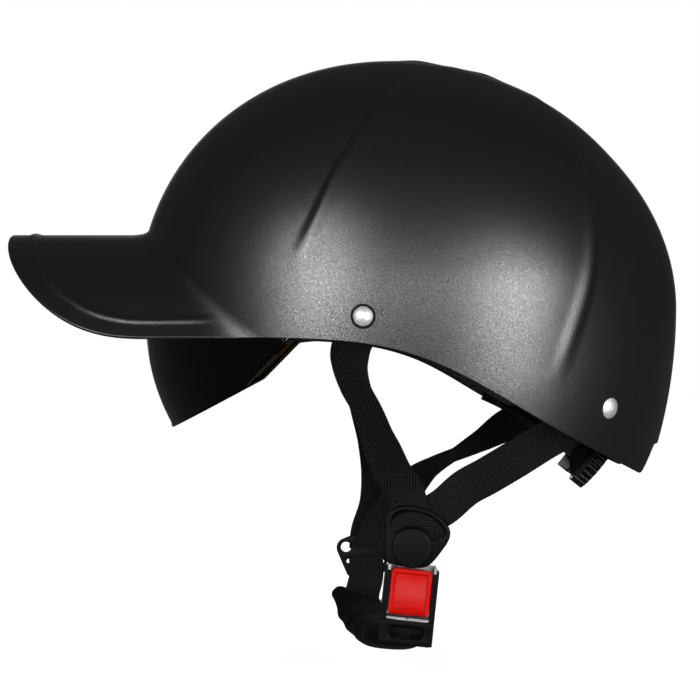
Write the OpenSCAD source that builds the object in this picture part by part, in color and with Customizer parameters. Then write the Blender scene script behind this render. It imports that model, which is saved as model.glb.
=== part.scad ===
// Motorcycle half helmet with drop-down sun visor, quick-release chin strap and nape fit dial.
// Frame: front of the helmet is -X, the wearer's left is -Y, +Z is up.
// The origin is at the temple pivots' height, under the highest point of the crown.

/* [Shell] */
// Crown centre to forehead, outside
dome_front = 127; // [115:0.5:140]
// Crown centre to back of head, outside
dome_rear = 140.5; // [128:0.5:155]
// Half width of the dome, outside
dome_side = 111; // [104:0.5:120]
// Height of the dome above its widest line
dome_up = 122.5; // [110:0.5:135]
// How far down the dome would close, which sets how steep its sides are
dome_down = 188; // [150:1:240]
// Height of the dome's widest line
dome_z = 6; // [2:0.5:12]
// Fullness of the forehead's profile; 2 is an ellipse
forehead_full = 2.1; // [1.9:0.01:2.3]
// Fullness of the profile at the back of the crown
crown_full = 1.925; // [1.8:0.005:2.2]
// Thickness of the shell
shell_wall = 2.5; // [2:0.1:3.2]
// Fillet between dome and brim
brim_fillet = 9; // [4:0.5:16]

/* [Brim] */
// Where the brim's straight sides end
brim_start_x = -112; // [-118:1:-100]
// Length of the brim's rounded front
brim_length = 76; // [60:1:95]
// Half width of the brim
brim_half_w = 90; // [84:0.5:96]
// Height of the brim's side edges
brim_edge_z = -9; // [-12:0.5:-6]
// Rise of the brim's arch over its side edges
brim_rise = 51.3; // [42:0.5:58]
// Squareness of the brim's outline seen from above
brim_square = 2.85; // [2:0.05:4]

/* [Hem] */
// Slope of the hem from the ear to the nape
hem_slope = 0.66; // [0.5:0.01:0.8]
// Where the hem turns down
hem_bend_x = 8; // [0:1:20]
// Length over which the hem turns down
hem_round = 18; // [10:1:30]
// Where the hem's slope eases again
hem_tail_x = 70; // [60:1:90]
// How much the slope eases there
hem_tail = 0.16; // [0:0.01:0.25]
// Height of the finger notch over the dial
notch_z = -60.5; // [-64:0.5:-56]
// Half width of the finger notch
notch_half_w = 32; // [28:1:40]

/* [Liner and pads] */
// Room between shell and liner at the crown and the back
liner_gap = 0.5; // [0.4:0.1:1]
// Room in front, where the visor stows
visor_room_front = 13; // [12:0.5:15]
// Room at each side, for the visor's arms and the strap ends
visor_room_side = 13.5; // [13.5:0.1:15]
// Thickness of the foam liner
liner_wall = 19; // [14:0.5:22]
// Height of the liner's lower edge at the nape
liner_nape_z = -46; // [-48:0.5:-42]
// Thickness of the comfort pads at their crown
pad_t = 7; // [5:0.5:9]
// Room between a pad and the liner
pad_gap = 0.6; // [0.5:0.1:0.9]

/* [Visor] */
// Radius of the visor's front about its pivot
visor_r = 107.6; // [104:0.2:108]
// Room between the shell and the visor's sides at the pivot
visor_side_gap = 6; // [5.8:0.1:6.4]
// Thickness of the visor
visor_t = 2.2; // [1.8:0.1:2.6]
// Pivot's place along the helmet
pivot_x = -15.7; // [-18:0.1:-13]
// Pivot's height
pivot_z = 0; // [-2:0.1:3]
// Drop of the visor's tip below the pivot
visor_drop = 53.2; // [46:0.5:56]
// Radius of the visor's hub
hub_r = 8.5; // [7.5:0.1:9]

/* [Fasteners] */
// Radius of a pivot rivet's shank
shank_r = 2.5; // [2:0.1:3]
// Radius of a rivet's head
rivet_head_r = 4.4; // [4:0.1:5]
// Height of a rivet's domed head
rivet_head_h = 2; // [1.5:0.1:2.4]
// Running clearance on a shank
run_gap = 0.05; // [0.03:0.01:0.08]
// Clearance of a fixed bore on a shank
fit_gap = 0.1; // [0.08:0.01:0.2]
// Thickness of a washer
washer_t = 0.9; // [0.7:0.1:1]
// Space between two stacked faces
face_gap = 0.1; // [0.05:0.01:0.12]
// Rear rivet: place along the helmet
rear_rivet_x = 99; // [94:0.5:104]
// Rear rivet: height
rear_rivet_z = -42; // [-46:0.5:-38]

/* [Straps] */
// Width of the webbing
web_w = 18; // [16:0.5:19]
// Thickness of the webbing
web_t = 1.5; // [1.2:0.1:1.6]
// Place of the left divider's disc along the helmet
divider_x = 7.6; // [5:0.1:10]
// Distance of the left divider from the middle plane
divider_y = 55; // [52:0.5:58]
// Height of the left divider's disc
divider_z = -108; // [-112:0.5:-105]
// Lean of the buckle, its lower end forwards
buckle_lean = 6; // [3:0.5:9]
// Offset of the buckle's middle line from the divider's disc
buckle_shift = 1.4; // [0:0.1:2]
// Distance of the right divider from the middle plane
far_divider_y = 56; // [53:0.5:58]
// Height of the right divider's centre
far_divider_z = -122.5; // [-125:0.5:-120]
// Place of the right divider along the helmet
far_divider_x = -13; // [-15:0.5:-11]

/* [Buckle] */
// Width of the red button
button_w = 19.4; // [18:0.1:19.6]
// Height of the red button along the buckle
button_h = 22; // [20:0.5:22.5]
// Thickness of the red button
button_t = 4.5; // [4:0.1:5]
// Travel of the button into the buckle
button_travel = 2.5; // [2:0.1:2.6]
// Thickness of the tongue plate
tongue_t = 1.6; // [1.4:0.1:1.8]
// Width of the tongue plate
tongue_w = 14; // [12:0.5:14]
// Width of the steel buckle frame, outside
frame_w = 23; // [22.8:0.1:25]
// Thickness of the frame's steel
frame_t = 1.3; // [1.2:0.1:1.6]
// Sliding clearance in the buckle
slide_gap = 0.3; // [0.25:0.05:0.4]

/* [Fit dial] */
// Place of the dial's back face along the helmet
dial_x = 97; // [94:0.5:99]
// Height of the dial's back face
dial_z = -68; // [-70:0.5:-66]
// Angle of the dial's axis from straight up, turned to the rear
dial_angle = 129; // [122:1:134]
// Radius of the dial
dial_r = 14.5; // [12:0.5:15]
// Thickness of the dial
dial_t = 7; // [5:0.5:8]
// Pitch radius of the pinion
pinion_r = 4; // [3.8:0.1:4.4]
// Number of the pinion's teeth
pinion_teeth = 12; // [10:1:14]
// Height of a tooth above the pitch line
tooth_out = 0.45; // [0.35:0.05:0.5]
// Depth of a gap below the pitch line
tooth_in = 0.75; // [0.65:0.05:0.85]
// Travel of each rack
rack_travel = 6; // [4:0.5:8]
// Thickness of a rack
rack_t = 2.4; // [2:0.1:2.8]

/* [Hidden] */
$fn = 48;
eps = 0.01;

// Sizes of the four nested bowls: front, rear, side, up, down
shell_out = [dome_front, dome_rear, dome_side, dome_up, dome_down];
shell_in = [for (s = shell_out) s - shell_wall];
liner_out = [shell_in[0] - visor_room_front, shell_in[1] - liner_gap, shell_in[2] - visor_room_side,
    shell_in[3] - liner_gap, shell_in[4] - liner_gap];
liner_in = [for (s = liner_out) s - liner_wall];

// How finely the bowls are drawn
shell_cols = 72;
shell_rows = 23;
liner_cols = 60;
liner_rows = 15;
row_power = 1.6; // rows crowd towards the edge, where the brim lies
notch_blend = 9; // width over which the finger notch runs out

function unit(v) = v / norm(v);
function mix(a, b, t) = a + (b - a) * t;
function ease(a, b, x) = let (t = min(1, max(0, (x - a) / (b - a)))) t * t * (3 - 2 * t);
function softplus(x, k) = k * ln(1 + exp(x / k));
function smooth_max(a, b, k) = let (h = max(k - abs(a - b), 0)) max(a, b) + h * h / (4 * k);
function flat(rows) = [for (row = rows) for (p = row) p];

// Direction at azimuth a (0 ahead, counted towards the right side) and elevation e
function aim(a, e) = [-cos(a) * cos(e), sin(a) * cos(e), sin(e)];

// How far along its profile a bowl's point lies, 1 on the profile itself
function section(x, z, s) = let (full = z <= 0 ? 2 : x < 0 ? forehead_full : crown_full)
    pow(pow(abs(x) / (x < 0 ? s[0] : s[1]), full) + pow(abs(z) / (z > 0 ? s[3] : s[4]), full), 2 / full);

// Radius of a bowl along direction c
function dome_r(c, s) = 1 / sqrt(section(c.x, c.z, s) + pow(c.y / s[2], 2));

// Half width of the dome at place x and height z
function side_y(s, x, z) = s[2] * sqrt(1 - section(x, z - dome_z, s));

// Radius of the brim's round arch, and the height of its centre line
arch_radius = (pow(brim_half_w, 2) + pow(brim_rise, 2)) / (2 * brim_rise);
arch_z = brim_edge_z + brim_rise - arch_radius;

// Distance to the brim's arch along direction c, in from the outside by the wall w
function arch_r(c, w) =
    let (k = pow(c.y, 2) + pow(c.z, 2), b = c.z * (dome_z - arch_z),
        q = b * b - k * (pow(dome_z - arch_z, 2) - pow(arch_radius - w, 2)))
    c.x >= 0 || k < 1e-6 ? 0 : (-b + sqrt(q)) / k;

function shell_r(c, s, w) = smooth_max(dome_r(c, s), arch_r(c, w), brim_fillet);

// Distance to the brim's outline at azimuth a, by halving
function brim_edge(a, hw, lo = 40, hi = 230, n = 22) =
    n == 0 ? (lo + hi) / 2 :
    let (m = (lo + hi) / 2, ahead = max(0, m * cos(a) + brim_start_x) / brim_length,
        over = pow(ahead, brim_square) + pow(abs(m * sin(a)) / hw, brim_square))
    over < 1 ? brim_edge(a, hw, m, hi, n - 1) : brim_edge(a, hw, lo, m, n - 1);

// Height of the hem at place x, and with the finger notch at the nape
function hem_z(x) = brim_edge_z - hem_slope * softplus(x - hem_bend_x, hem_round)
    + hem_tail * softplus(x - hem_tail_x, notch_blend);
function notched_z(x, y) = x < 0 ? hem_z(x)
    : mix(max(notch_z, hem_z(x)), hem_z(x), ease(notch_half_w - notch_blend / 2, notch_half_w + notch_blend / 2, abs(y)));

// Distance to the dome's hem at azimuth a, by repeated correction
function hem_edge(a, s, z, n = 5) =
    let (k = sqrt(1 - pow((z - dome_z) / s[4], 2)), d = aim(a, 0), r = k * dome_r(d, s))
    n == 0 ? r : hem_edge(a, s, notched_z(r * d.x, r * d.y), n - 1);

// Elevation of the shell's edge at azimuth a
function edge_e(a, s, w) =
    let (front = abs(a) < 80, rb = front ? brim_edge(a, brim_half_w - w) : 0, rh = hem_edge(a, s, brim_edge_z),
        yb = min(brim_half_w, abs(rb * sin(a))),
        zb = arch_z + sqrt(pow(arch_radius - w, 2) - yb * yb),
        zh = notched_z(-rh * cos(a), rh * sin(a)))
    rb > rh ? atan2(zb - dome_z, rb) : atan2(zh - dome_z, rh);

function shell_grid(s, w) = [for (i = [1:shell_rows]) [for (j = [0:shell_cols - 1])
    let (a = signed(360 * j / shell_cols), e0 = edge_e(a, s, w),
        e = e0 + (90 - e0) * pow(1 - i / shell_rows, row_power), c = aim(a, e))
    [0, 0, dome_z] + shell_r(c, s, w) * c]];
function signed(a) = a > 180 ? a - 360 : a;

// Height of the liner's hem: level with the shell's at the sides, higher at brow and nape
liner_brow_z = 22;
liner_drop = 1; // how far it reaches below the hem at the sides
function liner_hem(x) = max(liner_nape_z, hem_z(x) - liner_drop) + (liner_brow_z - brim_edge_z) * ease(-62, -96, x);
function liner_e(a, s) =
    let (r0 = dome_r(aim(a, 0), s), z = liner_hem(-r0 * cos(a)))
    atan2(z - dome_z, r0 * sqrt(1 - pow((z - dome_z) / (z > dome_z ? s[3] : s[4]), 2)));
function liner_grid(s) = [for (i = [1:liner_rows]) [for (j = [0:liner_cols - 1])
    let (a = signed(360 * j / liner_cols), e0 = liner_e(a, s), e = mix(90, e0, i / liner_rows), c = aim(a, e))
    [0, 0, dome_z] + dome_r(c, s) * c]];

// A bowl between an outer and an inner grid of points, closed along its edge
module bowl(outer, inner, top_out, top_in) {
    n = len(outer) - 1;
    m = len(outer[0]);
    base = 2 + (n + 1) * m;
    function o(i, j) = 2 + i * m + j % m;
    function q(i, j) = base + i * m + j % m;
    polyhedron(concat([[0, 0, top_out], [0, 0, top_in]], flat(outer), flat(inner)), concat(
        [for (j = [0:m - 1]) [0, o(0, j + 1), o(0, j)]],
        [for (j = [0:m - 1]) [1, q(0, j), q(0, j + 1)]],
        [for (i = [0:n - 1], j = [0:m - 1]) [o(i, j), o(i, j + 1), o(i + 1, j + 1)]],
        [for (i = [0:n - 1], j = [0:m - 1]) [o(i, j), o(i + 1, j + 1), o(i + 1, j)]],
        [for (i = [0:n - 1], j = [0:m - 1]) [q(i, j), q(i + 1, j + 1), q(i, j + 1)]],
        [for (i = [0:n - 1], j = [0:m - 1]) [q(i, j), q(i + 1, j), q(i + 1, j + 1)]],
        [for (j = [0:m - 1]) [o(n, j), o(n, j + 1), q(n, j + 1)]],
        [for (j = [0:m - 1]) [o(n, j), q(n, j + 1), q(n, j)]]));
}

// A cushion between an outer and an inner grid of points
module slab(outer, inner) {
    n = len(outer) - 1;
    m = len(outer[0]) - 1;
    base = (n + 1) * (m + 1);
    function o(i, j) = i * (m + 1) + j;
    function q(i, j) = base + o(i, j);
    function two(f) = [[f[0], f[1], f[2]], [f[0], f[2], f[3]]];
    polyhedron(concat(flat(outer), flat(inner)), flat([
        for (i = [0:n - 1], j = [0:m - 1]) two([o(i, j), o(i, j + 1), o(i + 1, j + 1), o(i + 1, j)]),
        for (i = [0:n - 1], j = [0:m - 1]) two([q(i, j), q(i + 1, j), q(i + 1, j + 1), q(i, j + 1)]),
        for (j = [0:m - 1]) two([o(0, j + 1), o(0, j), q(0, j), q(0, j + 1)]),
        for (j = [0:m - 1]) two([o(n, j), o(n, j + 1), q(n, j + 1), q(n, j)]),
        for (i = [0:n - 1]) two([o(i, 0), o(i + 1, 0), q(i + 1, 0), q(i, 0)]),
        for (i = [0:n - 1]) two([o(i + 1, m), o(i, m), q(i, m), q(i + 1, m)])]));
}

// A body swept through rings of points, each ring two facing rows of the same length
module sweep(rings) {
    n = len(rings) - 1;
    m = len(rings[0]);
    function p(i, k) = i * m + k % m;
    polyhedron(flat(rings), concat(
        [for (i = [0:n - 1], k = [0:m - 1]) [p(i, k), p(i + 1, k), p(i + 1, k + 1)]],
        [for (i = [0:n - 1], k = [0:m - 1]) [p(i, k), p(i + 1, k + 1), p(i, k + 1)]],
        [for (k = [0:m / 2 - 2]) [p(0, k), p(0, k + 1), p(0, m - 2 - k)]],
        [for (k = [0:m / 2 - 2]) [p(0, k), p(0, m - 2 - k), p(0, m - 1 - k)]],
        [for (k = [0:m / 2 - 2]) [p(n, k), p(n, m - 2 - k), p(n, k + 1)]],
        [for (k = [0:m / 2 - 2]) [p(n, k), p(n, m - 1 - k), p(n, m - 2 - k)]]));
}

// Rings of a section carried along a path; each stop is a point and the webbing's cross direction
function heading(stops, i) = unit(stops[min(i + 1, len(stops) - 1)][0] - stops[max(i - 1, 0)][0]);
function carried(stops, sections) = [for (i = [0:len(stops) - 1])
    let (t = heading(stops, i), w0 = stops[i][1], w = unit(w0 - t * (w0 * t)), n = cross(t, w))
    [for (s = sections[i]) stops[i][0] + w * s[0] + n * s[1]]];
function webbing(w, t) = [[-w / 2, -t / 2], [w / 2, -t / 2], [w / 2, t / 2], [-w / 2, t / 2]];

// Smooth stops between the chosen ones, on a curve through them
function knot(list, i) = list[min(max(i, 0), len(list) - 1)];
function curve_at(a, b, c, d, t) = 0.5 * (2 * b + (c - a) * t + (2 * a - 5 * b + 4 * c - d) * t * t
    + (3 * b - a - 3 * c + d) * t * t * t);
function smoothed(stops, k) = concat([for (i = [0:len(stops) - 2], j = [0:k - 1])
    let (a = knot(stops, i - 1), b = stops[i], c = stops[i + 1], d = knot(stops, i + 2), t = j / k)
    [curve_at(a[0], b[0], c[0], d[0], t), mix(b[1], c[1], t)]], [stops[len(stops) - 1]]);
module ribbon(stops, w, t) {
    path = smoothed(stops, 3);
    sweep(carried(path, [for (s = path) webbing(w, t)]));
}
module both_sides() {
    children();
    mirror([0, 1, 0]) children();
}
// A round bar along Y from y0 to y1, for the left side
module stack_disc(r, y0, y1) {
    translate([pivot_x, -y0, pivot_z]) rotate([90, 0, 0]) cylinder(r = r, h = y1 - y0);
}

// Faces of the pivot's stack, counted outwards from the middle plane
shell_pivot_out = side_y(shell_out, pivot_x, pivot_z);
shell_pivot_in = side_y(shell_in, pivot_x, pivot_z);
visor_half_w = shell_pivot_in - visor_side_gap;
hub_t = 3.2;
nut_t = 1.4;
hub_y1 = visor_half_w + 0.3;
hub_y0 = hub_y1 - hub_t;
washer_y0 = hub_y0 - face_gap - washer_t;
strap_y0 = washer_y0 - face_gap - web_t;
nut_y0 = strap_y0 - face_gap - nut_t;
head_washer_r = rivet_head_r + 1.2;
head_washer_t = 0.8;
spacer_r = hub_r - 2;
head_y0 = shell_pivot_out + face_gap + head_washer_t + face_gap;

// Rear rivet: its place on the dome and the outward direction there
rear_y = side_y(shell_out, rear_rivet_x, rear_rivet_z);
rear_n = unit([rear_rivet_x / pow(dome_rear, 2), -rear_y / pow(dome_side, 2),
    (rear_rivet_z - dome_z) / pow(dome_down, 2)]);
module at_rear_rivet() {
    translate([rear_rivet_x, -rear_y, rear_rivet_z])
        rotate([0, acos(rear_n.z), atan2(rear_n.y, rear_n.x)]) children();
}

module outer_shell() {
    color("#1c1c1d") difference() {
        bowl(shell_grid(shell_out, 0), shell_grid(shell_in, shell_wall), dome_z + shell_out[3], dome_z + shell_in[3]);
        both_sides() {
            stack_disc(shank_r + fit_gap, shell_pivot_in - shell_wall, shell_pivot_out + shell_wall);
            stack_disc(head_washer_r + 0.2, shell_pivot_out, shell_pivot_out + shell_wall);
            stack_disc(spacer_r + 0.2, shell_pivot_in - shell_wall, shell_pivot_in);
            at_rear_rivet() translate([0, 0, -3 * shell_wall]) cylinder(r = shank_r + fit_gap, h = 4 * shell_wall);
        }
    }
}
// Grooves in the liner's lower edge for the rear straps
groove_x = 57;
groove_long = 34;
groove_y = 62;
groove_deep = 24;
groove_h = 8;
module eps_liner() {
    color("#151516") difference() {
        bowl(liner_grid(liner_out), liner_grid(liner_in), dome_z + liner_out[3], dome_z + liner_in[3]);
        both_sides() translate([groove_x, -groove_y - groove_deep, liner_nape_z - 1])
            cube([groove_long, groove_deep, groove_h + 1]);
    }
}

// A crowned cushion lying on the liner's inside, between two azimuths and two elevations
pad_edge = 0.35; // thickness at the pad's rim, as a share of its crown
function pad_point(a, e, sink) = let (c = aim(a, e)) [0, 0, dome_z] + (dome_r(c, liner_in) - pad_gap - sink) * c;
module pad(a0, a1, e0, e1, cols, rows) {
    grid = function (u, v) [mix(a0, a1, u), mix(e1, e0, v)];
    crown = function (u, v) pad_edge + (1 - pad_edge) * pow(max(0, sin(180 * u) * sin(180 * v)), 0.4);
    slab([for (i = [0:rows]) [for (j = [0:cols]) let (g = grid(j / cols, i / rows)) pad_point(g[0], g[1], 0)]],
        [for (i = [0:rows]) [for (j = [0:cols]) let (g = grid(j / cols, i / rows))
            pad_point(g[0], g[1], pad_t * crown(j / cols, i / rows))]]);
}
module crown_pad() {
    color("#232325") for (a = [15:90:300]) pad(a, a + 60, 50, 78, 7, 5);
}
module brow_pad() {
    color("#232325") pad(-52, 52, 15, 32, 16, 5);
}
module side_pad_right() {
    color("#232325") pad(66, 114, 2, 30, 9, 6);
}
module side_pad_left() {
    mirror([0, 1, 0]) side_pad_right();
}

// The visor is cut from a spheroid about the pivots' line by its outline seen from the side
visor_top = 5; // height of its upper edge over the pivot
visor_kink = [-53, -31.2]; // where the lens ends and the arm begins, from the pivot
visor_arm = [-33.5, -11]; // the arm's lower edge, from the pivot
module visor_lens() {
    arc = function (shrink) [for (t = [-90:7.5:90]) [(visor_r - shrink) * cos(t), (visor_half_w - shrink) * sin(t)]];
    inner = arc(visor_t);
    tip = [-sqrt(visor_r * visor_r - visor_drop * visor_drop), -visor_drop];
    past_tip = tip + (tip - visor_kink) / 2;
    color([0.14, 0.1, 0.07, 0.85]) difference() {
        union() {
            intersection() {
                translate([pivot_x, 0, pivot_z]) rotate([90, 0, 0]) rotate_extrude($fn = 96)
                    polygon(concat(arc(0), [for (i = [len(inner) - 1:-1:0]) inner[i]]));
                translate([pivot_x, 0, pivot_z]) rotate([90, 0, 0])
                    linear_extrude(height = 2 * visor_half_w + 10, center = true)
                        polygon([[0, hub_r - 1], [visor_kink.x, visor_top], [-visor_r - 5, visor_top],
                            [-visor_r - 5, past_tip.y], past_tip, visor_kink, visor_arm, [0, 1 - hub_r]]);
            }
            both_sides() stack_disc(hub_r, hub_y0, hub_y1);
        }
        both_sides() stack_disc(shank_r + run_gap, hub_y0 - hub_t, hub_y1 + hub_t);
    }
}

// Domed rivet head standing on the plane z = 0
module rivet_head(r, h) {
    ball = (r * r + h * h) / (2 * h);
    intersection() {
        translate([0, 0, h - ball]) sphere(r = ball, $fn = 64);
        cylinder(r = r, h = h);
    }
}
module pivot_ring(r, bore, y0, y1) {
    difference() {
        stack_disc(r, y0, y1);
        stack_disc(bore, y0 - 1, y1 + 1);
    }
}
module pivot_rivets() {
    color("#c9ccce") both_sides() {
        stack_disc(shank_r, nut_y0, head_y0 + eps);
        translate([pivot_x, -head_y0, pivot_z]) rotate([90, 0, 0]) rivet_head(rivet_head_r, rivet_head_h);
    }
}
module pivot_head_washers() {
    y0 = shell_pivot_out + face_gap;
    color("#101011") both_sides() pivot_ring(head_washer_r, shank_r + fit_gap, y0, y0 + head_washer_t);
}
module pivot_spacers() {
    color("#2a2a2c") both_sides()
        pivot_ring(spacer_r, shank_r + fit_gap, hub_y1 + face_gap, shell_pivot_in - face_gap);
}
module pivot_inner_washers() {
    color("#b9bcbe") both_sides() pivot_ring(head_washer_r, shank_r + fit_gap, washer_y0, washer_y0 + washer_t);
}
module pivot_nuts() {
    color("#b9bcbe") both_sides() pivot_ring(head_washer_r - 0.8, shank_r + fit_gap, nut_y0, nut_y0 + nut_t);
}

// Depths under the shell's outside at the rear rivet
rear_strap_depth = shell_wall + 1.8; // the flat strap end spans the curved wall
rear_washer_depth = rear_strap_depth + web_t + face_gap + washer_t;
module rear_rivets() {
    color("#c9ccce") both_sides() at_rear_rivet() {
        translate([0, 0, -rear_washer_depth]) cylinder(r = shank_r, h = rear_washer_depth + face_gap + eps);
        translate([0, 0, face_gap]) rivet_head(rivet_head_r + 0.5, rivet_head_h);
    }
}
module rear_rivet_washers() {
    color("#b9bcbe") both_sides() at_rear_rivet() translate([0, 0, -rear_washer_depth]) difference() {
        cylinder(r = head_washer_r + 0.4, h = washer_t);
        translate([0, 0, -1]) cylinder(r = shank_r + fit_gap, h = washer_t + 2);
    }
}

// The buckle's frame: x across it, -y outwards, z up along it, origin at the left divider's disc
module at_buckle() {
    translate([divider_x, -divider_y, divider_z]) rotate([0, buckle_lean, 0]) children();
}
function buckle_point(x, y, z) = [divider_x + x * cos(buckle_lean) + z * sin(buckle_lean), y - divider_y,
    divider_z - x * sin(buckle_lean) + z * cos(buckle_lean)];
module at_frame() {
    at_buckle() translate([buckle_shift, 0, 0]) children();
}
function buckle_dir(x, y, z) = buckle_point(x, y, z) - buckle_point(0, 0, 0);

// Layers of the left divider, counted inwards: cover, front strap, rear strap, tongue
layer_gap = 0.3;
cover_t = 3;
cover_y = -4.6;
front_layer = cover_y + cover_t + layer_gap + web_t / 2;
rear_layer = front_layer + web_t + layer_gap;
tongue_y0 = rear_layer + web_t / 2 + layer_gap;
tongue_y1 = tongue_y0 + tongue_t;

// Straps: each stop is a point of the middle line and the direction across the webbing
strap_plane = strap_y0 + web_t / 2;
front_top = [[[pivot_x - 1, -strap_plane, pivot_z + 9], [1, 0, 0]],
    [[pivot_x - 1.3, -strap_plane, pivot_z], [1, 0, 0]], [[pivot_x - 2.2, -strap_plane, pivot_z - 7.5], [1, 0, 0]],
    [[pivot_x - 4, -strap_plane + 1.2, pivot_z - 14], [1, -0.1, 0]]];
function front_y(t) = mix(strap_plane, divider_y, t); // from the temple, 0, to the divider, 1
function rear_strap_y(t) = mix(-rear_end.y, divider_y, t); // from the rear rivet, 0, to the divider, 1
front_left_run = [[[-20, -front_y(0.164), -22], [0.85, -0.5, 0.1]],
    [[-17.6, -front_y(0.307), -32.5], [0.7, -0.7, 0.2]], [[-13.5, -front_y(0.45), -42.8], [0.68, -0.7, 0.2]],
    [[-9.5, -front_y(0.582), -53.5], [0.75, -0.6, 0.3]], [[-5.5, -front_y(0.725), -63.5], [0.9, -0.3, 0.4]],
    [[-1, -front_y(0.873), -73.5], [0.86, -0.1, 0.5]]];
function mirrored(stops) = [for (s = stops) [[s[0].x, -s[0].y, s[0].z], [-s[1].x, s[1].y, -s[1].z]]];
rear_end = [rear_rivet_x, -rear_y, rear_rivet_z] - rear_n * (rear_strap_depth + web_t / 2);
rear_way = unit(cross(cross(rear_n, [0.86, 0.1, 0.5]), rear_n));
rear_across = unit(cross(rear_way, rear_n));
rear_top = [[rear_end - rear_way * 11, rear_across], [rear_end, rear_across], [rear_end + rear_way * 8, rear_across]];
rear_left_run = [[[33, -rear_strap_y(1.04), -80.3], [0.5, 0, -0.86]], [[43, -rear_strap_y(0.8), -74.4], [0.5, 0, -0.86]],
    [[55.6, -rear_strap_y(0.444), -66.4], [0.54, 0, -0.84]], [[72, -rear_strap_y(0.097), -56], [0.5, 0.2, -0.84]]];

module front_bore() {
    stack_disc(shank_r + fit_gap, strap_y0 - 2, strap_y0 + web_t + 2);
}
module rear_bore() {
    at_rear_rivet() translate([0, 0, -2 * rear_washer_depth]) cylinder(r = shank_r + fit_gap, h = 3 * rear_washer_depth);
}
module strap_front_left() {
    color("#202022") difference() {
        ribbon(concat(front_top, front_left_run, [[buckle_point(-6.5, front_layer - 1.2, 27), buckle_dir(0.85, 0, 0.5)],
            [buckle_point(-3.8, front_layer, 21), buckle_dir(0.93, 0, 0.36)],
            [buckle_point(-2, front_layer, 15.5), buckle_dir(0.98, 0, 0.2)],
            [buckle_point(-1, front_layer, 9.5), buckle_dir(1, 0, 0.05)]]), web_w, web_t);
        front_bore();
    }
}
module strap_rear_left() {
    color("#202022") difference() {
        ribbon(concat([[buckle_point(3.4, rear_layer, 10.5), buckle_dir(0.72, 0, -0.7)],
            [buckle_point(9, rear_layer, 15.5), buckle_dir(0.66, 0, -0.75)],
            [buckle_point(15, rear_layer, 20.3), buckle_dir(0.58, 0, -0.81)]], rear_left_run, rear_top),
            web_w, web_t);
        rear_bore();
    }
}

// The right divider's layers, counted from its plate
far_plate_t = 2.5;
far_layer = far_plate_t / 2 + layer_gap + web_t / 2;
far_out = far_divider_y + far_layer;
far_in = far_divider_y - far_layer;
front_right_run = [[[-20.5, front_y(0.14), -21], [-0.85, -0.5, 0]], [[-18, front_y(0.307), -34], [-0.75, -0.65, 0]],
    [[-14.5, front_y(0.474), -48], [-0.7, -0.7, 0]], [[-10, front_y(0.642), -64], [-0.8, -0.6, 0]],
    [[-7, front_y(0.785), -80], [-0.95, -0.3, 0]], [[-7.5, front_y(0.88), -96], [-1, 0, 0]],
    [[far_divider_x + 1, far_out, far_divider_z + 12], [-1, 0, 0]],
    [[far_divider_x, far_out, far_divider_z + 2], [-1, 0, 0]]];
rear_right_run = [[[far_divider_x + 2, far_in, far_divider_z + 3], [-0.95, 0, 0.3]],
    [[far_divider_x + 6.5, far_in, far_divider_z + 14], [-0.85, 0, 0.5]],
    [[3.5, rear_strap_y(1.0), -93.5], [-0.85, -0.1, 0.5]], [[12.5, rear_strap_y(0.93), -84.3], [-0.7, -0.45, 0.55]],
    [[21.5, rear_strap_y(0.82), -77.2], [-0.45, -0.8, 0.4]], [[33.5, rear_strap_y(0.66), -70.6], [-0.25, -0.92, 0.3]],
    [[47.5, rear_strap_y(0.46), -63.2], [-0.35, -0.75, 0.55]], [[60, rear_strap_y(0.22), -56], [-0.45, -0.35, 0.8]],
    [[72, rear_strap_y(0.028), -50.8], [-0.5, 0, 0.84]]];
module strap_front_right() {
    color("#202022") difference() {
        ribbon(concat(mirrored(front_top), front_right_run), web_w, web_t);
        mirror([0, 1, 0]) front_bore();
    }
}
module strap_rear_right() {
    color("#202022") difference() {
        ribbon(concat(rear_right_run, mirrored(rear_top)), web_w, web_t);
        mirror([0, 1, 0]) rear_bore();
    }
}

disc_r = 9.4;
cap_h = 1.8;
cap_bevel = 0.6;
pin_r = 3; // pin that joins cover, tongue and disc
cover_rim = 2.3; // width of the cover's rim round its window
module cover_outline() {
    hull() {
        translate([-1.4, 1.5]) circle(r = 9.6);
        translate([-5.6, 13.3]) circle(r = 7);
        translate([2.5, 14.4]) circle(r = 7.3);
        translate([13, 10]) circle(r = 6.3);
    }
}
module divider_left() {
    color("#1b1b1c") at_buckle() translate([0, cover_y + cover_t, 0]) rotate([90, 0, 0]) difference() {
        linear_extrude(height = cover_t) difference() {
            cover_outline();
            difference() {
                intersection() {
                    offset(delta = -cover_rim) cover_outline();
                    polygon([[0, 0], [30, 13], [30, 40], [-30, 40], [-30, 14]]);
                }
                circle(r = disc_r + 1.2);
            }
        }
        translate([0, 0, -1]) cylinder(r = pin_r + fit_gap, h = cover_t + 2);
    }
}
module divider_cap() {
    color("#1f1f20") at_buckle() translate([0, cover_y - face_gap, 0]) rotate([90, 0, 0]) {
        cylinder(r = disc_r, h = cap_h - cap_bevel);
        translate([0, 0, cap_h - cap_bevel]) cylinder(r1 = disc_r, r2 = disc_r - 2 * cap_bevel, h = cap_bevel);
        translate([0, 0, cover_y - tongue_y1]) cylinder(r = pin_r, h = tongue_y1 - cover_y + eps);
    }
}

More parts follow.
